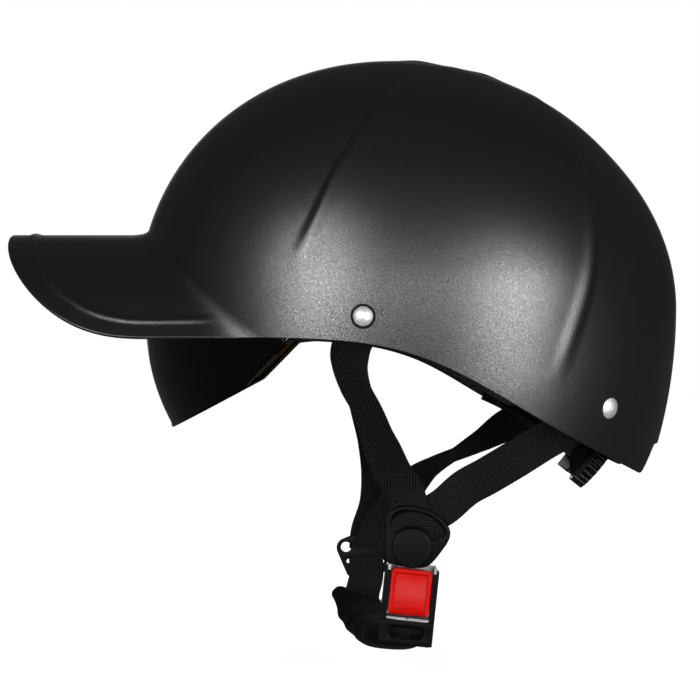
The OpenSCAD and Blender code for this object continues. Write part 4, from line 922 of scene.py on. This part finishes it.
blackPiece("divider_cover", *onBuckle(buildCover(), cover["front"]), "divider_left")

# The snap disc over the joint: a low dome, curved like a 130 mm sphere, with a turned edge
dome = reliefPlate(circle(0, 0, disc["radius"], disc["turns"]),
                   lambda x, y: disc["height"] - (x * x + y * y) / (2 * disc["sphere"]),
                   disc["back"], disc["rings"], disc["bevel"])
blackPiece("divider_disc", *onBuckle(dome, cover["front"] - disc["ahead"]), "divider_cap", 50)


def buildFold():
    # The webbing folded through the cover's window: an arc over the disc, crowned across and pleated
    t = np.radians(np.linspace(*fold["arc"], fold["rows"]))[:, None]
    across = np.linspace(-1, 1, fold["cols"])[None]
    mid, half = (fold["out"] + fold["in"]) / 2, (fold["out"] - fold["in"]) / 2
    reach = mid + half * across - fold["narrow"] * smoothStep(*fold["narrowArc"], t) * (1 + across) / 2
    pleat = fold["pleat"] * np.sin(t * fold["pleats"]) * smoothStep(*fold["pleatArc"], t)
    proud = fold["proud"] * (1 - across ** 4) + pleat * (1 - across ** 2)
    sides = [np.concatenate([polar(reach, t), depth[..., None]], -1).reshape(-1, 3)
             for depth in (fold["depth"] - proud + 0 * t, fold["back"] + 0 * reach)]
    uv = np.stack(np.broadcast_arrays(t * mid, across * half), -1).reshape(-1, 2) * mm
    return (np.concatenate(sides), slabFaces(*reach.shape)), np.concatenate([uv, uv])


folded, foldUv = buildFold()
points, faces = onBuckle(folded, cover["front"])
piece = meshPiece("webbing_fold_left", points, faces, nylonWebbing, uv=foldUv, sharpAngle=60)
settle(piece, "helmet", "webbing")


def buttonFront(x, z):
    # Flat rim, a shallow field that deepens upwards, and an arched thumb scoop along the lower edge
    b = button
    up = z - (b["top"] - b["tall"] / 2)
    foot = [level - b["footBow"] * (x / b["footHalf"]) ** 2 for level in b["fieldFoot"]]
    field = smoothStep(*b["fieldHalf"], np.abs(x)) * smoothStep(*b["fieldTop"], up) * smoothStep(*foot, up)
    deep = b["rimDeep"] * (b["shallow"] + (1 - b["shallow"]) * smoothStep(*b["deepening"], up))
    arch = b["scoopTop"] - b["scoopBow"] * (x / b["scoopHalf"]) ** 2
    scoop = b["scoopDeep"] * smoothStep(*b["scoopSlope"], up - arch) * smoothStep(*b["scoopSides"], np.abs(x))
    return b["lipRise"] * bump(up, b["lipUp"], b["lipHalf"]) - deep * field - scoop


def buildButton():
    # The face on its rounded outline, long sides cut into short steps, with a post behind on each side
    b = button
    half = b["wide"] / 2
    outline = roundedBox(-half, half, b["top"] - b["tall"], b["top"], b["corner"], b["steps"])
    counts = [b["steps"] if np.hypot(*(q - p)) > b["longSide"] else 1
              for p, q in zip(outline, np.roll(outline, -1, 0))]
    outline = np.concatenate([np.linspace(p, q, count, endpoint=False)
                              for p, q, count in zip(outline, np.roll(outline, -1, 0), counts)])
    back = b["front"] + b["thick"]
    face = reliefPlate(outline, buttonFront, -b["thick"], b["rings"], b["edge"])
    parts = [onBuckle(face, b["front"], buckle["shift"])]
    for side in (-1, 1):
        post = reliefPlate(circle(side * b["postX"], b["postZ"], b["postR"], b["postTurns"]),
                           lambda x, y: b["postRise"] + 0 * x,
                           back - b["postEnd"], b["postRings"], b["postEdge"])
        parts.append(onBuckle(post, back, buckle["shift"]))
    return joined(parts)


settle(meshPiece("button_red", *buildButton(), redAcetal, sharpAngle=60), "release", "red_plastic",
       "release_button")


def buildHousing():
    # Side cheeks, a lip along the front of each, and the block in front of the webbing bar
    h = housing
    parts = []
    for side in (-1, 1):
        points, faces = plate([roundedBox(h["front"] - h["wall"], h["back"], h["end"], h["top"], h["corner"]),
                               circle(h["pinY"], h["pinZ"], h["pinBore"])], h["wall"], h["edge"])
        x = side * (h["half"] + points[:, 2]) + buckle["shift"]
        parts.append((atBuckle(np.stack([x, points[:, 0], points[:, 1]], -1)), faces))
        outer = h["half"] + h["lipOver"]
        x0, x1 = sorted((side * outer, side * (outer - h["lip"])))
        lip = plate([roundedBox(x0, x1, h["bridge"] - h["lipFoot"], h["top"] - h["corner"], h["lipCorner"])],
                    h["lipThick"], h["lipEdge"])
        parts.append(onBuckle(lip, h["front"] - h["lipThick"] - h["lipProud"], buckle["shift"]))
    wide = h["half"] + h["wall"]
    slot = roundedBox(-h["slotHalf"], h["slotHalf"], buckle["barZ"] - h["slotUp"],
                      buckle["barZ"] + h["slotUp"], h["slotCorner"])
    block = plate([roundedBox(-wide, wide, h["end"], h["bridge"], h["blockCorner"]), slot],
                  h["blockThick"], h["blockEdge"])
    parts.append(onBuckle(block, h["front"] - h["blockThick"], buckle["shift"]))
    return joined(parts)


blackPiece("buckle_housing", *buildHousing(), "buckle_cheeks")

# Right divider: a flat plate with its corners drawn out round a large hole and three small ones
points, faces = plate([hullOutline(farPlate["corners"])] + [circle(*hole) for hole in farPlate["holes"]],
                      farPlate["thick"], farPlate["bevel"])
points = np.stack([plateX + points[:, 0], farPlate["y"] - farPlate["thick"] / 2 + points[:, 2],
                   plateZ + points[:, 1]], -1)
blackPiece("divider_plate_right", points, faces, "divider_right")

print("7 plain nodes")

plainNodes = {
    platedSteel: ["pivot_rivets", "rear_rivets", "buckle_pins"],
    tumbledSteel: ["tongue_plate", "buckle_frame", "latch_plate", "pivot_inner_washers", "pivot_nuts",
                   "rear_rivet_washers", "return_spring", "web_bar", "dial_screw"],
    mouldedNylon: ["pivot_head_washers", "pivot_spacers", "fit_housing", "fit_cover", "fit_bracket",
                   "rack_left", "rack_right", "headband_left", "headband_right"],
    glossyNylon: ["fit_dial"],
    naturalNylon: ["dial_pinion"],
}
for material, names in plainNodes.items():
    for node in names:
        dress(node, material)

print("8 cushions")

pads = {
    "gap": 0.3, "thick": 7.4, "sunk": 1.0, "rim": 0.66, "crownPower": 0.4, "rows": 26, "cols": 48,
    "voxel": 2.1, "pressure": 4.0, "frames": 20, "cap": 1.6, "relax": 4,
    "seamInset": 4.2, "seamHalf": 1.5, "seamDeep": 0.9, "seamFront": 2.5, "reachPast": (4, 8),
    # Each cushion from one azimuth to another and from one elevation to another, in degrees
    "crown": [(a, a + 60, 50, 78) for a in (15, 105, 195, 285)], "brow": [(-52, 52, 15, 32)],
    "right": [(66, 114, 2, 30)], "left": [(-114, -66, 2, 30)],
}
chinPad = {
    "from": 0.235, "to": 0.9, "rows": 64, "turns": 56, "steps": 12,
    "halfWide": 15.5, "above": 8.6, "below": 3.5, "squareWide": 0.72, "squareTall": 0.8,
    "endWide": 0.34, "endTall": 0.3, "endOpen": 0.02, "firstEnd": (0.12, 0.4), "lastEnd": (0.2, 0.5),
    "skew": 0.22, "skewEnd": 0.45, "aheadCos": (0.2, -0.9),
    # As shares of its length: (place, half) of its swelling and its waist on the side ahead,
    # and (depth, place, half, slant) of its two folds
    "swell": (0.08, 0.12), "swellShare": 0.2, "waist": (0.24, 0.1), "waistShare": 0.1,
    "folds": [(1.5, 0.3, 0.05, 0.09), (1.0, 0.56, 0.045, -0.05)],
    "voxel": 2.6, "pressure": 4.0, "cap": 1.2, "relax": 12,
}


def evaluated(piece):
    # The piece's modifiers worked into its mesh
    shape = bpy.data.meshes.new_from_object(piece.evaluated_get(bpy.context.evaluated_depsgraph_get()))
    piece.modifiers.clear()
    old, piece.data = piece.data, shape
    bpy.data.meshes.remove(old)


def pointsOf(piece):
    co = np.empty(len(piece.data.vertices) * 3)
    piece.data.vertices.foreach_get("co", co)
    return co.reshape(-1, 3)


def movePoints(piece, co):
    piece.data.vertices.foreach_set("co", np.ascontiguousarray(co).ravel())
    piece.data.update()


def swollen(piece, q):
    # Even cells over the form, swelled by air pressure with each point's way capped, then one subdivision
    voxels = piece.modifiers.new("cells", "REMESH")
    voxels.mode = "VOXEL"
    voxels.voxel_size = q["voxel"] * mm
    relax = piece.modifiers.new("relax", "SMOOTH")
    relax.factor, relax.iterations = 0.5, q["relax"]
    evaluated(piece)
    before = pointsOf(piece)
    cloth = piece.modifiers.new("air", "CLOTH")
    cloth.settings.use_pressure = True
    cloth.settings.uniform_pressure_force = q["pressure"]
    cloth.settings.effector_weights.gravity = 0
    cloth.point_cache.frame_end = pads["frames"]
    for step in range(1, pads["frames"] + 1):
        scene.frame_set(step)
    evaluated(piece)
    scene.frame_set(1)
    way = pointsOf(piece) - before
    far = np.linalg.norm(way, axis=1, keepdims=True)
    movePoints(piece, before + way * np.minimum(1, q["cap"] * mm / np.maximum(far, 1e-9)))
    finer = piece.modifiers.new("finer", "SUBSURF")
    finer.levels = finer.render_levels = 1
    evaluated(piece)
    piece.data.polygons.foreach_set("use_smooth", np.ones(len(piece.data.polygons), bool))


def buildPad(a0, a1, e0, e1):
    # A slab on the liner's inside: its back follows the liner, its front is thick * crown nearer the head,
    # where crown grows from the rim's share to 1 with (sin * sin)^power across it
    u = np.linspace(0, 1, pads["cols"])[None]
    v = np.linspace(0, 1, pads["rows"])[:, None]
    c = direction(np.radians(a0 + (a1 - a0) * u + 0 * v), np.radians(e0 + (e1 - e0) * v + 0 * u))
    dome = np.maximum(0, np.sin(np.pi * u) * np.sin(np.pi * v)) ** pads["crownPower"]
    crown = pads["rim"] + (1 - pads["rim"]) * dome
    reach = domeReach(c, linerSizes(liner["wall"])) - pads["gap"]
    walls = [(c * r[..., None] + domeCentre).reshape(-1, 3)
             for r in (reach, reach - (pads["thick"] - pads["sunk"]) * crown)]
    return np.concatenate(walls), slabFaces(*reach.shape)


def stitch(piece, spans):
    # A seam pressed in along the cushions' fronts, at one inset from each cushion's rim
    p = pointsOf(piece) / mm - domeCentre
    reach = np.linalg.norm(p, axis=1)
    c = p / reach[:, None]
    azimuth, elevation = np.degrees(np.arctan2(c[:, 1], -c[:, 0])) % 360, np.degrees(np.arcsin(c[:, 2]))
    depth = domeReach(c, linerSizes(liner["wall"])) - reach
    arc = np.radians(1) * reach
    pastRim, pastSide = pads["reachPast"]
    inset = np.full(len(p), np.inf)
    for a0, a1, e0, e1 in spans:
        turned = np.abs((azimuth - (a0 + a1) / 2 % 360 + 180) % 360 - 180)
        aside = ((a1 - a0) / 2 - turned) * arc * np.cos(np.radians(elevation))
        upright = ((e1 - e0) / 2 - np.abs(elevation - (e0 + e1) / 2)) * arc
        margin = np.minimum(aside, upright)
        inset = np.where((margin > -pastRim) & (turned < (a1 - a0) / 2 + pastSide), margin, inset)
    seam = bump(inset, pads["seamInset"], pads["seamHalf"]) * (depth > pads["seamFront"])
    movePoints(piece, (p + c * (seam * pads["seamDeep"])[:, None] + domeCentre) * mm)


def linerPads(name, spans, node):
    piece = meshPiece(name, *joined([buildPad(*span) for span in spans]), knitLining)
    swollen(piece, pads)
    stitch(piece, spans)
    settle(piece, "helmet", "cushion", node)


linerPads("pad_crown", pads["crown"], "crown_pad")
linerPads("pad_brow", pads["brow"], "brow_pad")
linerPads("pad_side_left", pads["left"], "side_pad_left")
linerPads("pad_side_right", pads["right"], "side_pad_right")


def buildChinPad():
    # A sleeve of rounded sections round the webbing, cross * |cos|^a + out * |sin|^b; its width swells and
    # pinches, its ends draw in and its front end leans along the strap
    q = chinPad
    line, cross, out = path(chinStart + chinRun, q["steps"])
    last = len(line) - 1
    t = np.linspace(0, last, q["rows"]) * (q["to"] - q["from"]) + last * q["from"]
    k = np.arange(len(line))
    line, cross, out = [np.stack([np.interp(t, k, w[:, a]) for a in range(3)], -1)
                        for w in (line, cross, out)]
    s = np.linspace(0, 1, q["rows"])[:, None]
    angle = np.linspace(0, 2 * np.pi, q["turns"], endpoint=False)[None]
    cos, sin = np.cos(angle), np.sin(angle)
    (first, firstPower), (final, finalPower) = q["firstEnd"], q["lastEnd"]
    ends = np.minimum(1, (q["endOpen"] + s) / first) ** firstPower
    ends = ends * np.minimum(1, (1 + q["endOpen"] - s) / final) ** finalPower
    ahead = smoothStep(*q["aheadCos"], cos)
    waist = 1 + ahead * (q["swellShare"] * bump(s, *q["swell"]) - q["waistShare"] * bump(s, *q["waist"]))
    wide = q["halfWide"] * (q["endWide"] + (1 - q["endWide"]) * ends) * waist
    tall = np.where(sin > 0, q["above"], q["below"]) * (q["endTall"] + (1 - q["endTall"]) * ends)
    creases = sum(deep * bump(s + slant * cos, place, half) for deep, place, half, slant in q["folds"])
    x = (wide - creases) * np.sign(cos) * np.abs(cos) ** q["squareWide"]
    z = (tall - creases) * np.sign(sin) * np.abs(sin) ** q["squareTall"]
    p = line[:, None] + cross[:, None] * x[..., None] + out[:, None] * z[..., None]
    lean = q["skew"] * (x + q["halfWide"]) * np.clip(1 - s / q["skewEnd"], 0, 1) ** 1.5
    p = p + unit(np.gradient(line, axis=0))[:, None] * lean[..., None]
    points = np.concatenate([p.reshape(-1, 3), [p[0].mean(0), p[-1].mean(0)]])
    return points, tubeFaces(*x.shape)


piece = meshPiece("chin_cushion", *buildChinPad(), neopreneCover)
swollen(piece, chinPad)
settle(piece, "helmet", "cushion", "chin_pad")

print("9 studio")

# This section's lengths are in metres
studio = {
    "distance": 1.0, "eyeX": -0.0215, "eyeZ": -0.015, "lens": 102.86, "sensor": 36,
    "floorZ": -0.178, "floorSize": 6.0, "floorGlow": (0.56, 0.63), "floorNear": (0.10, 0.45),
    "ambient": 0.035, "backdrop": (0.93, 1.0), "paperGlow": 1.6, "paperMirroredGlow": 0.05,
}


def aim(name, data, place, target):
    thing = bpy.data.objects.new(name, data)
    scene.collection.objects.link(thing)
    thing.location = place
    thing.rotation_euler = (Vector(target) - Vector(place)).to_track_quat("-Z", "Y").to_euler()
    return thing


cameraData = bpy.data.cameras.new("camera")
cameraData.lens = studio["lens"]
cameraData.sensor_width = studio["sensor"]
scene.camera = aim("camera", cameraData, (studio["eyeX"], -studio["distance"], studio["eyeZ"]),
                   (studio["eyeX"], 0, studio["eyeZ"]))
scene.view_settings.view_transform = "Standard"


def softBox(name, place, target, width, height, watts, glossy=True):
    data = bpy.data.lights.new(name, "AREA")
    data.shape = "RECTANGLE"
    data.size, data.size_y, data.energy = width, height, watts
    aim(name, data, place, target).visible_glossy = glossy


# The left box gives the broad light on the front of the dome, the right one that on the rear, the front one
# fills the straps, and the one overhead lights the floor without showing in the lacquer
softBox("left_box", (-0.70, -1.15, 0.10), (-0.02, 0, 0), 0.52, 1.1, 17)
softBox("right_box", (0.42, -0.57, 0.035), (0.05, -0.1, 0.02), 0.26, 0.39, 3.3)
softBox("front_box", (0.02, -1.5, 0.14), (0, 0, 0), 1.0, 0.62, 4.8)
softBox("top_box", (0.0, -0.05, 1.2), (0, 0, 0), 0.7, 0.7, 9, glossy=False)


def whenSeen(owner, rays, share=None):
    # 1 for camera rays; for glossy and transmission rays 1 too, or the share that a node's output gives
    seen = addNode(owner, "ShaderNodeMath", {"operation": "MAXIMUM"},
                   {0: (rays, "Is Glossy Ray"), 1: (rays, "Is Transmission Ray")})
    if share is not None:
        seen = addNode(owner, "ShaderNodeMath", {"operation": "MULTIPLY"}, {0: (seen, "Value"), 1: share})
    return addNode(owner, "ShaderNodeMath", {"operation": "MAXIMUM"},
                   {0: (rays, "Is Camera Ray"), 1: (seen, "Value")})


def mapRange(low, high, start, end):
    return {"From Min": low, "From Max": high, "To Min": start, "To Max": end}


# A white backdrop stands behind the helmet; the room in front of it is dim, so the black lacquer stays black
world = bpy.data.worlds.new("studio")
world.use_nodes = True
scene.world = world
rays = addNode(world, "ShaderNodeLightPath")
wayOut = addNode(world, "ShaderNodeTexCoord")
axes = addNode(world, "ShaderNodeSeparateXYZ", links={"Vector": (wayOut, "Generated")})
backdrop = addNode(world, "ShaderNodeMapRange",
                   {"interpolation_type": "SMOOTHSTEP", **mapRange(*studio["backdrop"], 0.0, 1.0)},
                   {"Value": (axes, "Y")})
seen = whenSeen(world, rays, (backdrop, "Result"))
level = addNode(world, "ShaderNodeMapRange", mapRange(0.0, 1.0, studio["ambient"], 1.0),
                {"Value": (seen, "Value")})
feed(world, level, "Result", "Background", "Strength")
world.node_tree.nodes["Background"].inputs["Color"].default_value = grey(1)

# Floor: pale matt paper that glows white to the camera. It glows less under the helmet, where the lamp
# overhead lights it and the helmet's shadow falls, and hardly at all in what the lacquer mirrors.
paper = newFinish("pale_paper", Base_Color=linear("#f4f4f4"), Roughness=1.0)
matt = paper.node_tree.nodes["Principled BSDF"]
rays = addNode(paper, "ShaderNodeLightPath")
place = addNode(paper, "ShaderNodeTexCoord")
fromMiddle = addNode(paper, "ShaderNodeVectorMath", {"operation": "LENGTH"}, {0: (place, "Object")})
nearer = mapRange(*studio["floorNear"], *studio["floorGlow"])
glowShare = addNode(paper, "ShaderNodeMapRange", {"interpolation_type": "SMOOTHSTEP", **nearer},
                    {"Value": (fromMiddle, "Value")})
seen = whenSeen(paper, rays)
share = addNode(paper, "ShaderNodeMath", {"operation": "MULTIPLY"},
                {0: (seen, "Value"), 1: (glowShare, "Result")})
glow = addNode(paper, "ShaderNodeEmission", {"Strength": studio["paperGlow"]})
lit = addNode(paper, "ShaderNodeMixShader",
              links={"Fac": (share, "Value"), 1: (matt, "BSDF"), 2: (glow, "Emission")})
# Painted reflection: in glossy rays the floor is replaced by a dim glow of this strength
dim = addNode(paper, "ShaderNodeEmission", {"Strength": studio["paperMirroredGlow"]})
both = addNode(paper, "ShaderNodeMixShader",
               links={"Fac": (rays, "Is Glossy Ray"), 1: (lit, "Shader"), 2: (dim, "Emission")})
feed(paper, both, "Shader", "Material Output", "Surface")

far = studio["floorSize"]
floorMesh = bpy.data.meshes.new("floor")
floorMesh.from_pydata([(-far, -far, 0), (far, -far, 0), (far, far, 0), (-far, far, 0)], [], [(0, 1, 2, 3)])
floorMesh.materials.append(paper)
floor = bpy.data.objects.new("floor", floorMesh)
floor.location.z = studio["floorZ"]
scene.collection.objects.link(floor)
